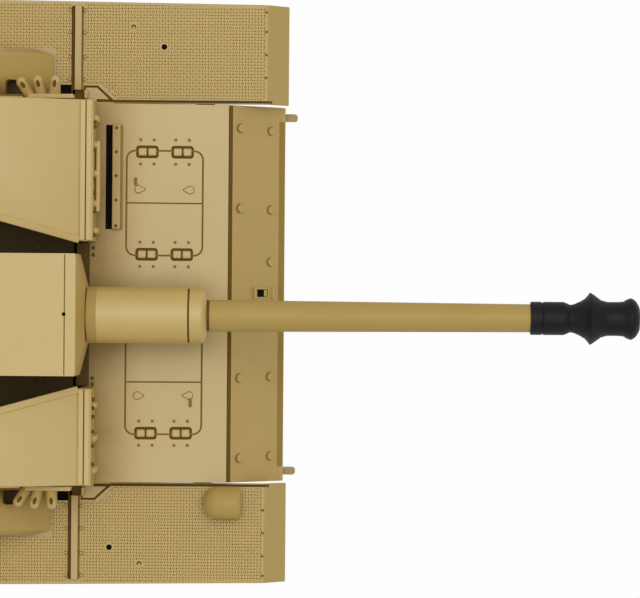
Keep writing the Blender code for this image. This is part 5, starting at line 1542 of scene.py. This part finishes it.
def smoke_tube():
    """One tube along Z from the origin, with a rounded tip."""
    shape = [(TUBE_RADIUS, 0)]
    for i in range(7):
        angle = math.radians(90 * i / 6)
        along = TUBE_LENGTH - TUBE_RADIUS * (1 - math.sin(angle))
        shape.append((max(TUBE_RADIUS * math.cos(angle), 0.00002), along))
    return turned(shape, "Z", ORIGIN, 24)


def make_headlight():
    """Lamp housing with a rounded back, a rim and a lens."""
    low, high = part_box("headlight")
    y, z = (low.y + high.y) / 2, high.z - (high.y - low.y) / 2
    radius = (high.y - low.y) / 2
    back, front = low.x, high.x
    shape = [(0.0002, back)]
    for i in range(1, 9):
        angle = math.radians(90 * i / 8)
        shape.append((radius * math.sin(angle), back + radius * (1 - math.cos(angle))))
    rim = 0.0016
    for i in range(7):
        angle = math.radians(90 * i / 6)
        shape.append((radius - rim * (1 - math.cos(angle)), front - rim * (1 - math.sin(angle))))
    lamp = turned(shape + [(radius - rim - 0.0002, front - 0.0012)], "X", (0, y, z), 40)
    trim(lamp, (0, 0, FENDER_TOP + 0.0001), (0, 0, -1))
    settle(lamp, "headlight_housing", barrel_shaded_paint(), replaces=["headlight"])
    edge = radius - rim - 0.0001
    glass = [(0.0001, front - 0.0004), (radius * 0.4, front - 0.0006), (edge, front - 0.0011)]
    lens = turned(glass, "X", (0, y, z), 32)
    settle(lens, "headlight_lens", lamp_glass())


def make_hatches():
    """Cupola ring with periscopes, the commander's lid and the loader's flaps."""
    paint = casemate_paint()
    low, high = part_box("commander_cupola")
    middle = (low + high) / 2
    radius = (high.y - low.y) / 2
    bore = 0.0105
    top, base = high.z, low.z
    ring = [
        (bore, base), (radius, base), (radius, base + 0.0012), (radius - 0.0006, base + 0.0016),
        (radius - 0.0006, base + 0.0068), (radius - 0.0012, base + 0.0076),
        (radius * 0.87, top - 0.0004), (radius * 0.85, top), (bore, top),
    ]
    cupola = turned(ring, "Z", (middle.x, middle.y, 0), sizes().facets, closed=True)
    settle(cupola, "commander_cupola_ring", paint, replaces=["commander_cupola"])
    scope = block((-0.0012, -0.0024, -0.0016), (0.0007, 0.0024, 0.0016), 0.0004)
    glass = block((0.0004, -0.0017, -0.0008), (0.0009, 0.0017, 0.0008), 0.0002)
    places = []
    for i in range(7):
        turn = Matrix.Rotation(math.tau * (i + 0.5) / 7, 4, "Z")
        out = turn @ Matrix.Translation((radius - 0.0004, 0, 0))
        places.append(Matrix.Translation((middle.x, middle.y, base + 0.0042)) @ out)
    settle(copies(scope, places), "cupola_periscopes", paint)
    settle(copies(glass, places), "cupola_periscope_glass", lamp_glass())
    low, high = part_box("commander_hatch")
    radius = (high.y - low.y) / 2
    lid = [(0.0001, low.z), (radius, low.z), (radius, low.z + 0.0010), (radius - 0.0008, low.z + 0.0016)]
    lid += [(radius * 0.82, high.z - 0.0003), (radius * 0.74, high.z), (0.0040, high.z)]
    lid += [(0.0036, high.z - 0.0004), (0.0001, high.z - 0.0004)]
    lid_piece = turned(lid, "Z", ((low.x + high.x) / 2, (low.y + high.y) / 2, 0), sizes().facets)
    settle(lid_piece, "commander_hatch_lid", paint, "commander_hatch", replaces=["commander_hatch"])
    for node in ("loader_hatch_front", "loader_hatch_rear"):
        dressed(node, paint, 0.0004)


# Engine deck and rear

DOORS_BACK = (0.026, 0.078)
DOOR_ASIDE = 0.0245
DOOR_HINGE_ALONG = 0.012
DOOR_HINGE_ASIDE = 0.0470
DOOR_HANDLE_ASIDE = 0.0085
INTAKE_MIDDLE = CASEMATE_REAR - 0.0100 - 0.0400
INTAKE_DROP = 0.0130 / 3
INTAKE_WIDTH = 0.0140
SLAT_COUNT = 6
SLAT_PITCH = 0.0021


def make_engine_deck():
    """Access doors with hinges and grab handles, slatted intakes and the rear plate's fittings."""
    paint = hull_paint()
    signs = (1, -1)
    doors = [ENGINE_PLATE[0][0] - back for back in DOORS_BACK]
    panel = block((-0.0225, -0.0220, -0.0004), (0.0225, 0.0220, 0.0009), 0.0003)
    places = [on_slope(ENGINE_PLATE, x, sign * DOOR_ASIDE) for x in doors for sign in signs]
    settle(copies(panel, places), "engine_deck_doors", paint)
    hinge = block((-0.0030, -0.0012, 0), (0.0030, 0.0012, 0.0016), 0.0005, 3)
    rows = [x + along for x in doors for along in (-DOOR_HINGE_ALONG, DOOR_HINGE_ALONG)]
    places = [on_slope(ENGINE_PLATE, x, sign * DOOR_HINGE_ASIDE) for x in rows for sign in signs]
    settle(copies(hinge, places), "engine_door_hinges", paint)
    slat = block((-0.0375, -0.0005, -0.0003), (0.0375, 0.0005, 0.0010), 0.0002)
    places = []
    for sign in signs:
        tilt = Matrix.Rotation(-sign * math.atan2(INTAKE_DROP, INTAKE_WIDTH), 4, "X")
        for i in range(SLAT_COUNT):
            across = 0.0005 + i * SLAT_PITCH
            z = ENGINE_DECK - 0.0060 - across * INTAKE_DROP / INTAKE_WIDTH
            places.append(on_level(INTAKE_MIDDLE, sign * (HALF_DECK + across), z) @ tilt)
    settle(copies(slat, places), "intake_slats", paint)
    places = [on_slope(ENGINE_PLATE, x, sign * DOOR_HANDLE_ASIDE) for x in doors for sign in signs]
    settle(copies(grab_handle(), places), "engine_door_handles", paint)
    make_rear_plate()


TAIL_PLATE = ((HULL_REAR, ENGINE_DECK - 0.0156), (HULL_REAR + 0.0180, ENGINE_DECK - 0.0060))
TUB_REAR = ((HULL_REAR + 0.0120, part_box("lower_hull")[0].z), (HULL_REAR, FENDER_TOP - 0.0058))
TAIL_COVER = (0.52, 0.0270)
TAIL_COVER_BOLTS = (0.0100, 0.0270, 0.0440)
TAIL_EDGE_BOLTS = (0.0060, 0.0180, 0.0300, 0.0420, 0.0540)
TUB_FITTINGS = 0.58
TUB_COVER_ASIDE = 0.0330
TUB_COVER_BOLTS = 8
TUB_BOLT_RING = 0.0072


def on_rear(plate, share, y):
    """Frame on a rear plate given from its low edge to its high edge: Z points away, X up the plate."""
    (x0, z0), (x1, z1) = plate
    up = Vector((x1 - x0, 0, z1 - z0)).normalized()
    out = Vector((-up.z, 0, up.x))
    axes = Matrix((up, out.cross(up), out)).transposed().to_4x4()
    spot = hull_point(x0 + (x1 - x0) * share, y, z0 + (z1 - z0) * share)
    return Matrix.Translation(spot) @ axes


def make_rear_plate():
    """Covers and bolts of the tail plate, and the tub's round covers and tow coupling."""
    paint = hull_paint()
    share, aside = TAIL_COVER
    lift = Matrix.Translation((0, 0, 0.0009))
    covers = []
    places = []
    for sign in (1, -1):
        covers.append(pad((0.0120, 0.0400), on_rear(TAIL_PLATE, share, sign * aside), -0.0003, 0.0009))
        for y in TAIL_COVER_BOLTS:
            places += [on_rear(TAIL_PLATE, height, sign * y) @ lift for height in (0.33, 0.71)]
        places += [facing_rear(HULL_REAR, sign * y, FENDER_TOP - 0.0010) for y in TAIL_EDGE_BOLTS]
    settle(joined(covers), "tail_plate_covers", paint)
    settle(copies(disc_head(0.0009, 0.0006, 10), places), "tail_plate_bolts", paint)
    make_tub_fittings()


def make_tub_fittings():
    """Round bolted covers and the tow coupling on the tub's rear."""
    grey = running_gear_paint()
    rounds = [on_rear(TUB_REAR, TUB_FITTINGS, sign * TUB_COVER_ASIDE) for sign in (1, -1)]
    places = []
    for place in rounds:
        for i in range(TUB_COVER_BOLTS):
            angle = math.tau * i / TUB_COVER_BOLTS
            spot = (TUB_BOLT_RING * math.cos(angle), TUB_BOLT_RING * math.sin(angle), 0.0013)
            places.append(place @ Matrix.Translation(spot))
    covers = copies(disc_head(0.0090, 0.0014, 40), rounds)
    bolts = copies(disc_head(0.0008, 0.0006, 6), places)
    settle(joined([covers, bolts]), "tub_rear_covers", grey)
    hitch = [block((-0.0060, -0.0085, -0.0004), (0.0060, 0.0085, 0.0010), 0.0004)]
    for y in (-0.0032, 0.0032):
        hitch.append(block((-0.0030, y - 0.0009, 0), (0.0030, y + 0.0009, 0.0050), 0.0006, 3))
    pin = [(0.0001, -0.0052), (0.0010, -0.0050), (0.0010, 0.0050), (0.0001, 0.0052)]
    hitch.append(turned(pin, "Y", (0, 0, 0.0034), 16))
    coupling = joined(hitch)
    coupling.data.transform(on_rear(TUB_REAR, TUB_FITTINGS, 0))
    settle(coupling, "tub_tow_coupling", grey)


def grab_handle():
    """A bent bar handle on the local XY plane, along X."""
    bars = [block((-0.0045, -0.0006, 0.0018), (0.0045, 0.0006, 0.0028), 0.0004, 3)]
    for x in (-0.0039, 0.0039):
        bars.append(block((x - 0.0006, -0.0006, 0), (x + 0.0006, 0.0006, 0.0022), 0.0003))
    return joined(bars)


# Running gear

SPROCKET_RADIUS = 0.0195
SPROCKET_TEETH = 20
IDLER_RADIUS = 0.0200
IDLER_HUB = 0.0052
IDLER_SPOKES = 8
ROAD_WHEEL_RADIUS = 0.01625
ROAD_WHEEL_RIM = 0.0130
ROAD_WHEEL_CORE = 0.01105
ROLLER_RADIUS = 0.0095
ROLLER_RIM = 0.0072
TYRE_NEAR = 0.0024
TYRE_WIDTH = 0.0047
TYRE_LIP = 0.0005


def wheel_places(stem):
    """(node, sign, centre) of each wheel whose node name starts with a stem."""
    found = []
    for node in sorted(frame["nodes"]):
        if node.startswith(stem):
            sign = 1 if "left" in node else -1
            spot = Vector(JOINTS[node + "_spin"]["pos_m"])
            found.append((node, sign, spot))
    return found


def set_wheels(stem, *looks):
    """Sets wheel models, drawn about the origin with the outer face towards +Y, on every axle of a kind.

    Each look is (model, ending of the name, material, slot). The first stands for the node.
    """
    for node, sign, spot in wheel_places(stem):
        flip = Matrix.Identity(4) if sign > 0 else Matrix.Rotation(math.pi, 4, "Z")
        place = Matrix.Translation((spot.x, sign * TRACK_MIDDLE, spot.z)) @ flip
        replaced = [node]
        for model, ending, material, slot in looks:
            piece = placed_copy(model, place)
            settle(piece, node + ending, material, body_of_node(node), replaced)
            replaced = ()
    for model, *_ in looks:
        bpy.data.objects.remove(model)


def wheel_body(shape, closed=False):
    """A body turned about a wheel's axle, which is Y."""
    return turned(shape, "Y", ORIGIN, sizes().facets, closed)


def ring_pair(shape):
    """Two rings from one section, the second mirrored to the inner side."""
    return [wheel_body([(radius, sign * along) for radius, along in shape], True) for sign in (1, -1)]


def on_both_rings(model, count, apart):
    """Copies of a spoke or a tooth all round the axle, on the outer ring and on the inner one."""
    turns = [Matrix.Rotation(math.tau * i / count, 4, "Y") for i in range(count)]
    inward = Matrix.Translation((0, -apart, 0))
    return copies(model, turns + [turn @ inward for turn in turns])


def bolt_circle(count, ring, along, radius, height):
    """Bolt heads in a ring that face +Y."""
    head = disc_head(radius, height, 6)
    stand = Matrix.Rotation(math.radians(-90), 4, "X")
    places = []
    for i in range(count):
        angle = math.tau * i / count
        spot = Vector((ring * math.cos(angle), along, ring * math.sin(angle)))
        places.append(Matrix.Translation(spot) @ stand)
    return copies(head, places)


def road_wheel_disc():
    """Dished disc with two rims, a groove between them and a bolted cap."""
    rim, core = ROAD_WHEEL_RIM, ROAD_WHEEL_CORE
    shape = [
        (0.0001, 0.0085), (0.0026, 0.0084), (0.0032, 0.0079), (0.0034, 0.0066), (0.0046, 0.0062),
        (0.0052, 0.0056), (0.0088, 0.0044), (0.0104, 0.0046), (0.0114, 0.0062), (0.0120, 0.0068),
        (rim, 0.0068), (rim, 0.0026), (core, 0.0024), (core, -0.0024), (rim, -0.0026), (rim, -0.0068),
        (0.0120, -0.0068), (0.0112, -0.0058), (0.0056, -0.0060), (0.0042, -0.0068), (0.0024, -0.0068),
    ]
    return joined([wheel_body(shape), bolt_circle(8, 0.0043, 0.0061, 0.0006, 0.0007)])


def tyre_pair(radius, rim):
    """The two tyres of a wheel, with room between them for the track's guide horns."""
    near, far = TYRE_NEAR, TYRE_NEAR + TYRE_WIDTH
    lip, flat = TYRE_LIP, TYRE_WIDTH * 0.4
    shape = [
        (rim - 0.0004, near + lip), (radius - lip, near), (radius - 0.0001, near + lip),
        (radius, near + flat), (radius, far - flat), (radius - 0.0001, far - lip),
        (radius - lip, far), (rim + 0.0006, far), (rim - 0.0004, far - lip),
    ]
    return joined(ring_pair(shape))


def make_road_wheels():
    """Road wheels, each a disc with a pair of tyres."""
    set_wheels(
        "road_wheel_",
        (road_wheel_disc(), "_disc", running_gear_paint(), "sand_paint"),
        (tyre_pair(ROAD_WHEEL_RADIUS, ROAD_WHEEL_RIM), "_tyres", tyre_rubber(), "dark_wheel"),
    )


def make_return_rollers():
    """Small rollers on stub axles, each with a pair of tyres."""
    rim = ROLLER_RIM
    shape = [
        (0.0001, 0.0085), (0.0024, 0.0083), (0.0030, 0.0070), (0.0044, 0.0058), (0.0058, 0.0056),
        (0.0064, 0.0068), (rim, 0.0068), (rim, 0.0026), (0.0052, 0.0024), (0.0052, -0.0024),
        (rim, -0.0026), (rim, -0.0068), (0.0040, -0.0066), (0.0022, -0.0070), (0.0022, -0.0150),
    ]
    set_wheels(
        "return_roller_",
        (wheel_body(shape), "_disc", running_gear_paint(), "sand_paint"),
        (tyre_pair(ROLLER_RADIUS, rim), "_tyres", tyre_rubber(), "dark_wheel"),
    )


def make_idlers():
    """Spoked idlers: two rims on a hub with tapered spokes."""
    radius, hub = IDLER_RADIUS, IDLER_HUB
    shape = [
        (0.0001, 0.0085), (0.0034, 0.0083), (0.0040, 0.0072), (hub, 0.0068),
        (hub, -0.0068), (0.0022, -0.0070), (0.0022, -0.0150),
    ]
    rim = [
        (radius - 0.0034, 0.0030), (radius - 0.0008, 0.0024), (radius, 0.0028), (radius, 0.0067),
        (radius - 0.0006, 0.0071), (radius - 0.0028, 0.0071), (radius - 0.0034, 0.0066),
    ]
    spoke = block((hub - 0.0008, 0.0032, -0.0017), (radius - 0.0026, 0.0062, 0.0017), 0.0006, 3)
    pinch(spoke, lambda co: co.x > 0.010, (1, 1, 0.72))
    parts = [wheel_body(shape), *ring_pair(rim), on_both_rings(spoke, IDLER_SPOKES, 0.0094)]
    parts.append(bolt_circle(8, 0.0042, 0.0068, 0.0005, 0.0006))
    set_wheels("idler_wheel_", (joined(parts), "_spoked", running_gear_paint(), "sand_paint"))


def make_sprockets():
    """Drive sprockets: a drum with a dished outer face, two toothed rings and two circles of bolts."""
    root = SPROCKET_RADIUS
    shape = [
        (0.0001, 0.0112), (0.0030, 0.0112), (0.0052, 0.0104), (0.0056, 0.0090), (0.0100, 0.0078),
        (0.0136, 0.0080), (0.0143, 0.0074), (0.0143, -0.0074), (0.0052, -0.0080), (0.0030, -0.0090),
        (0.0030, -0.0330),
    ]
    ring = [
        (0.0138, 0.0080), (0.0150, 0.0078), (root - 0.0006, 0.0080), (root, 0.0084),
        (root, 0.0096), (root - 0.0006, 0.0100), (0.0150, 0.0100), (0.0138, 0.0094),
    ]
    tooth = block((root - 0.0006, 0.0081, -0.0017), (root + 0.0020, 0.0099, 0.0017), 0.0003)
    pinch(tooth, lambda co: co.x > root + 0.001, (1, 1, 0.45))
    parts = [wheel_body(shape), *ring_pair(ring), on_both_rings(tooth, SPROCKET_TEETH, 0.0180)]
    parts.append(bolt_circle(12, 0.0168, 0.0100, 0.0006, 0.0006))
    parts.append(bolt_circle(8, 0.0078, 0.0083, 0.0007, 0.0007))
    set_wheels("drive_sprocket_", (joined(parts), "_toothed", running_gear_paint(), "sand_paint"))


def make_suspension():
    """The suspension arms."""
    for node in sorted(frame["nodes"]):
        if node.startswith("suspension_arm_"):
            dressed(node, arm_plastic(), 0.0004)


# Tracks

TRACK_GAP = 0.0003
BAND = 0.0035
ROUND_POINTS = 120


def track_loop(side):
    """Points of the taut line round a side's end wheels, anticlockwise seen from the right."""
    ends = (
        ("drive_sprocket_" + side, SPROCKET_RADIUS), ("idler_wheel_" + side, IDLER_RADIUS),
        (f"road_wheel_{side}_1", ROAD_WHEEL_RADIUS), (f"road_wheel_{side}_6", ROAD_WHEEL_RADIUS),
    )
    points = []
    for node, radius in ends:
        x, _, z = JOINTS[node + "_spin"]["pos_m"]
        reach = radius + TRACK_GAP
        for i in range(ROUND_POINTS):
            angle = math.tau * i / ROUND_POINTS
            points.append((x + reach * math.cos(angle), z + reach * math.sin(angle)))
    ordered = sorted(points)
    loop = []
    for run in (ordered, ordered[::-1]):
        chain = []
        for p in run:
            while len(chain) > 1 and bend(chain[-2], chain[-1], p) <= 0:
                chain.pop()
            chain.append(p)
        loop += chain[:-1]
    return [Vector(p) for p in loop]


def bend(a, b, c):
    """Above zero where the way from a by b to c turns to the left."""
    return (b[0] - a[0]) * (c[1] - a[1]) - (b[1] - a[1]) * (c[0] - a[0])


def link_frames(side, sign):
    """Evenly spaced frames round the loop: X along it, Z outwards, on its inner line."""
    loop = track_loop(side)
    spans = [(b - a).length for a, b in zip(loop, loop[1:] + loop[:1])]
    total = sum(spans)
    count = round(total / sizes().link_pitch)
    frames = []
    step = total / count
    for i in range(count):
        ends = [point_along(loop, spans, (i + share) * step) for share in (0, 1)]
        middle = (ends[0] + ends[1]) / 2
        along = (ends[1] - ends[0]).normalized()
        out = Vector((along.y, -along.x))
        axes = Matrix((
            (along.x, 0, out.x, middle.x),
            (0, -1, 0, sign * TRACK_MIDDLE),
            (along.y, 0, out.y, middle.y),
            (0, 0, 0, 1),
        ))
        frames.append(axes)
    return frames, step


def point_along(loop, spans, distance):
    """The point at a distance round a closed loop."""
    distance = distance % sum(spans)
    for i, span in enumerate(spans):
        if distance <= span:
            return loop[i].lerp(loop[(i + 1) % len(loop)], distance / span)
        distance -= span
    return loop[0]


def track_link(step):
    """One link on its inner face's plane: sole plate, webs, guide horn, hinge pin and grouser."""
    half = step / 2
    rear, front, inner = -half + 0.0011, half - 0.0011, BAND - 0.0009
    parts = [
        block((-half + 0.0009, -0.0124, BAND - 0.0011), (half - 0.0009, 0.0124, BAND), 0.0003, 1),
        block((rear, -0.0073, 0.0001), (front, 0.0073, inner), 0.0003, 1),
    ]
    for y in (-0.0115, 0.0115):
        parts.append(block((rear, y - 0.0009, 0.0001), (front, y + 0.0009, inner), 0.0003, 1))
    horn = block((-0.0018, -0.0015, -0.0042), (0.0018, 0.0015, 0.0004), 0.0003, 1)
    pinch(horn, lambda co: co.z < -0.002, (0.5, 0.6, 1))
    start_clean()
    bpy.ops.mesh.primitive_cylinder_add(
        vertices=8, radius=0.0011, depth=0.0240, location=(half, 0, BAND * 0.55),
        rotation=(math.pi / 2, 0, 0),
    )
    pin = bpy.context.object
    bake_place(pin)
    grouser = block((-0.0008, -0.0100, BAND - 0.0004), (0.0008, 0.0100, BAND - 0.00001), 0.0002, 1)
    return joined([*parts, horn, pin, grouser])


def make_tracks():
    """Both tracks, each one piece made of its links."""
    for side, sign in SIDES:
        frames, step = link_frames(side, sign)
        links = copies(track_link(step), frames)
        node = "track_" + side
        settle(links, node + "_links", link_metal(), replaces=[node])


# Belly and inside

DOOR_RIBS = (-0.015, -0.0075, 0, 0.0075, 0.015)
CRADLE_SCREWS = ((-0.0784, 0.0149), (-0.0774, -0.0273))


def make_belly():
    """The battery door with its ribs, the power switch and the belly's screws."""
    paint = running_gear_paint()
    dressed("battery_door", paint, 0.0003)
    low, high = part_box("battery_door")
    rear, front = low.x + 0.004, high.x - 0.004
    rib = block((rear, -0.0007, low.z - 0.0005), (front, 0.0007, low.z + 0.0004), 0.0002)
    places = [Matrix.Translation((0, y, 0)) for y in DOOR_RIBS]
    settle(copies(rib, places), "battery_door_ribs", paint, "battery_door")
    dressed("power_switch", black_plastic(), 0.0003)
    low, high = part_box("lower_hull")
    turn = Matrix.Rotation(math.pi, 4, "X")
    spots = [(x, y) for x in (low.x + 0.026, high.x - 0.050) for y in (-0.045, 0.045)]
    places = [Matrix.Translation((x, y, low.z)) @ turn for x, y in spots]
    screw = disc_head(0.0018, 0.0006, 12)
    settle(copies(screw, places), "belly_screws", arm_plastic())


def make_inside():
    """What shows through the slot and the open hatches."""
    dressed("gun_cradle", recess_black(), 0.0003)
    # Painted shade: the cradle's screws take the brown of the slot's shade.
    screw = disc_head(0.0011, 0.0006, 12)
    places = [on_level(x, y, GLACIS[1][1] - 0.0023) for x, y in CRADLE_SCREWS]
    body = body_of_node("gun_cradle")
    settle(copies(screw, places), "gun_cradle_screws", slot_screw_brown(), body)
    dressed("battery_pack", battery_wrap(), 0.0015)
    dressed("control_board", board_lacquer(), 0.0002)
    dressed("speaker", black_plastic(), 0.0004)
    for side, _ in SIDES:
        dressed("gearbox_" + side, gear_case_grey(), 0.0005)


# Stage

PHOTO_WIDTH = 640
SENSOR_WIDTH = 36.0
LIGHT_AIM = (-0.04, 0, 0.08)
KEY_OFFSET = (0.12, 0.22, 1.55)
KEY_SIZE = 1.1
FLOOR_GLOW = 0.97


def make_stage():
    """White floor and sky, the overhead light and a camera that looks as the photo does."""
    settings = bpy.context.scene.tank_stage
    start_clean()
    bpy.ops.mesh.primitive_plane_add(size=6, location=(0, 0, -0.0002))
    floor = bpy.context.object
    floor.name = "studio_floor"
    bake_place(floor)
    floor.data.materials.append(floor_white())
    world = bpy.data.worlds.new("studio")
    bpy.context.scene.world = world
    world.use_nodes = True
    tree = world.node_tree
    sky = tree.nodes["Background"]
    sky.inputs["Color"].default_value = (1, 1, 1, 1)
    level = mapped(tree, seen_rays(tree), To_Min=settings.ambient, To_Max=1.0)
    feed(tree, sky.inputs["Strength"], level)
    aim = hull_point(*LIGHT_AIM)
    add_area("key_light", aim + Vector(KEY_OFFSET), aim, KEY_SIZE, settings.key)
    camera = bpy.data.cameras.new("photo_camera")
    camera.sensor_width = SENSOR_WIDTH
    camera.lens = settings.pixels_per_metre * settings.height * SENSOR_WIDTH / PHOTO_WIDTH
    camera.clip_start = 0.01
    holder = bpy.data.objects.new("photo_camera", camera)
    bpy.context.scene.collection.objects.link(holder)
    holder.location = hull_point(settings.ahead, settings.aside, FENDER_TOP + settings.height)
    holder.rotation_euler = (0, 0, settings.roll)
    bpy.context.scene.camera = holder
    bpy.context.scene.view_settings.view_transform = "Standard"


def seen_rays(tree):
    """One for camera, glossy and transmission rays, and zero for the rays that only light the tank."""
    rays = tree.nodes.new("ShaderNodeLightPath")
    seen = computed(tree, "MAXIMUM", rays.outputs["Is Camera Ray"], rays.outputs["Is Glossy Ray"])
    return computed(tree, "MAXIMUM", seen, rays.outputs["Is Transmission Ray"])


def floor_white():
    """White floor that keeps a faint shadow and stays white to the camera and in reflections."""
    material = bpy.data.materials.new("studio_white")
    material.use_nodes = True
    tree = material.node_tree
    shader = tree.nodes["Principled BSDF"]
    shader.inputs["Base Color"].default_value = (0.86, 0.86, 0.86, 1)
    shader.inputs["Roughness"].default_value = 0.9
    glow = add_node(tree, "ShaderNodeEmission")
    mix = tree.nodes.new("ShaderNodeMixShader")
    feed(tree, mix.inputs["Fac"], computed(tree, "MULTIPLY", seen_rays(tree), FLOOR_GLOW))
    feed(tree, mix.inputs[1], shader.outputs[0])
    feed(tree, mix.inputs[2], glow.outputs[0])
    feed(tree, tree.nodes["Material Output"].inputs["Surface"], mix.outputs[0])
    return material


def add_area(name, spot, aim, size, power):
    """A square area light that looks at a point."""
    light = bpy.data.lights.new(name, "AREA")
    light.size = size
    light.energy = power
    holder = bpy.data.objects.new(name, light)
    bpy.context.scene.collection.objects.link(holder)
    holder.location = spot
    holder.rotation_euler = (aim - spot).to_track_quat("-Z", "Y").to_euler()


class TankOperator:
    """What the tank's operators share."""

    bl_options = {"REGISTER", "UNDO"}
    work = None

    def execute(self, context):
        type(self).work()
        return {"FINISHED"}


class TANK_OT_stage(TankOperator, bpy.types.Operator):
    """Sets the floor, lights and camera"""

    bl_idname = "tank.stage"
    bl_label = "Stage"
    work = staticmethod(make_stage)


class TANK_OT_hull(TankOperator, bpy.types.Operator):
    """Dresses the upper and lower hull and cuts the brake hatches"""

    bl_idname = "tank.hull"
    bl_label = "Hull"
    work = staticmethod(make_hull)


class TANK_OT_glacis_fittings(TankOperator, bpy.types.Operator):
    """Adds the glacis hinges, catches, splash guard and nose bolts"""

    bl_idname = "tank.glacis_fittings"
    bl_label = "Glacis fittings"
    work = staticmethod(make_glacis_fittings)


class TANK_OT_fenders(TankOperator, bpy.types.Operator):
    """Dresses the fenders with tread plate, ribs and flap hinges"""

    bl_idname = "tank.fenders"
    bl_label = "Fenders"
    work = staticmethod(make_fenders)


class TANK_OT_casemate(TankOperator, bpy.types.Operator):
    """Dresses the casemate, its front plate, gun slot and roof"""

    bl_idname = "tank.casemate"
    bl_label = "Casemate"
    work = staticmethod(make_casemate)


class TANK_OT_gun(TankOperator, bpy.types.Operator):
    """Turns the gun's sleeve, barrel and muzzle brake and dresses the mantlet"""

    bl_idname = "tank.gun"
    bl_label = "Gun"
    work = staticmethod(make_gun)


class TANK_OT_smoke_dischargers(TankOperator, bpy.types.Operator):
    """Dresses the smoke dischargers"""

    bl_idname = "tank.smoke_dischargers"
    bl_label = "Smoke dischargers"
    work = staticmethod(make_smoke_dischargers)


class TANK_OT_headlight(TankOperator, bpy.types.Operator):
    """Turns the headlight"""

    bl_idname = "tank.headlight"
    bl_label = "Headlight"
    work = staticmethod(make_headlight)


class TANK_OT_hatches(TankOperator, bpy.types.Operator):
    """Turns the cupola and its lid and dresses the loader's flaps"""

    bl_idname = "tank.hatches"
    bl_label = "Hatches"
    work = staticmethod(make_hatches)


class TANK_OT_engine_deck(TankOperator, bpy.types.Operator):
    """Adds the engine deck's doors, handles and intake slats"""

    bl_idname = "tank.engine_deck"
    bl_label = "Engine deck"
    work = staticmethod(make_engine_deck)


class TANK_OT_road_wheels(TankOperator, bpy.types.Operator):
    """Turns the road wheels and their tyres"""

    bl_idname = "tank.road_wheels"
    bl_label = "Road wheels"
    work = staticmethod(make_road_wheels)


class TANK_OT_return_rollers(TankOperator, bpy.types.Operator):
    """Turns the return rollers"""

    bl_idname = "tank.return_rollers"
    bl_label = "Return rollers"
    work = staticmethod(make_return_rollers)


class TANK_OT_idlers(TankOperator, bpy.types.Operator):
    """Builds the spoked idlers"""

    bl_idname = "tank.idlers"
    bl_label = "Idlers"
    work = staticmethod(make_idlers)


class TANK_OT_sprockets(TankOperator, bpy.types.Operator):
    """Builds the toothed drive sprockets"""

    bl_idname = "tank.sprockets"
    bl_label = "Sprockets"
    work = staticmethod(make_sprockets)


class TANK_OT_suspension(TankOperator, bpy.types.Operator):
    """Dresses the suspension arms"""

    bl_idname = "tank.suspension"
    bl_label = "Suspension"
    work = staticmethod(make_suspension)


class TANK_OT_tracks(TankOperator, bpy.types.Operator):
    """Lays the track links round the wheels"""

    bl_idname = "tank.tracks"
    bl_label = "Tracks"
    work = staticmethod(make_tracks)


class TANK_OT_belly(TankOperator, bpy.types.Operator):
    """Dresses the battery door, the switch and the belly's screws"""

    bl_idname = "tank.belly"
    bl_label = "Belly"
    work = staticmethod(make_belly)


class TANK_OT_inside(TankOperator, bpy.types.Operator):
    """Dresses what the hull holds"""

    bl_idname = "tank.inside"
    bl_label = "Inside"
    work = staticmethod(make_inside)


OPERATORS = (
    TANK_OT_stage,
    TANK_OT_hull,
    TANK_OT_glacis_fittings,
    TANK_OT_fenders,
    TANK_OT_casemate,
    TANK_OT_gun,
    TANK_OT_smoke_dischargers,
    TANK_OT_headlight,
    TANK_OT_hatches,
    TANK_OT_engine_deck,
    TANK_OT_road_wheels,
    TANK_OT_return_rollers,
    TANK_OT_idlers,
    TANK_OT_sprockets,
    TANK_OT_suspension,
    TANK_OT_tracks,
    TANK_OT_belly,
    TANK_OT_inside,
)
SETTINGS = {"tank_colours": TankColours, "tank_sizes": TankSizes, "tank_stage": TankStage}


class TANK_PT_panel(bpy.types.Panel):
    """The tank's operators and settings in the sidebar"""

    bl_label = "Tank"
    bl_idname = "TANK_PT_panel"
    bl_space_type = "VIEW_3D"
    bl_region_type = "UI"
    bl_category = "Tank"

    def draw(self, context):
        column = self.layout.column(align=True)
        for operator in OPERATORS:
            column.operator(operator.bl_idname)
        for name, group in SETTINGS.items():
            settings = getattr(context.scene, name)
            box = self.layout.box()
            for key in group.__annotations__:
                box.prop(settings, key)


def register():
    for group in SETTINGS.values():
        bpy.utils.register_class(group)
    for operator in OPERATORS:
        bpy.utils.register_class(operator)
    bpy.utils.register_class(TANK_PT_panel)
    for name, group in SETTINGS.items():
        setattr(bpy.types.Scene, name, PointerProperty(type=group))


def unregister():
    for name in SETTINGS:
        delattr(bpy.types.Scene, name)
    bpy.utils.unregister_class(TANK_PT_panel)
    for operator in reversed(OPERATORS):
        bpy.utils.unregister_class(operator)
    for group in SETTINGS.values():
        bpy.utils.unregister_class(group)


def main():
    register()
    for operator in OPERATORS:
        family, name = operator.bl_idname.split(".")
        getattr(getattr(bpy.ops, family), name)()


if __name__ == "__main__":
    main()
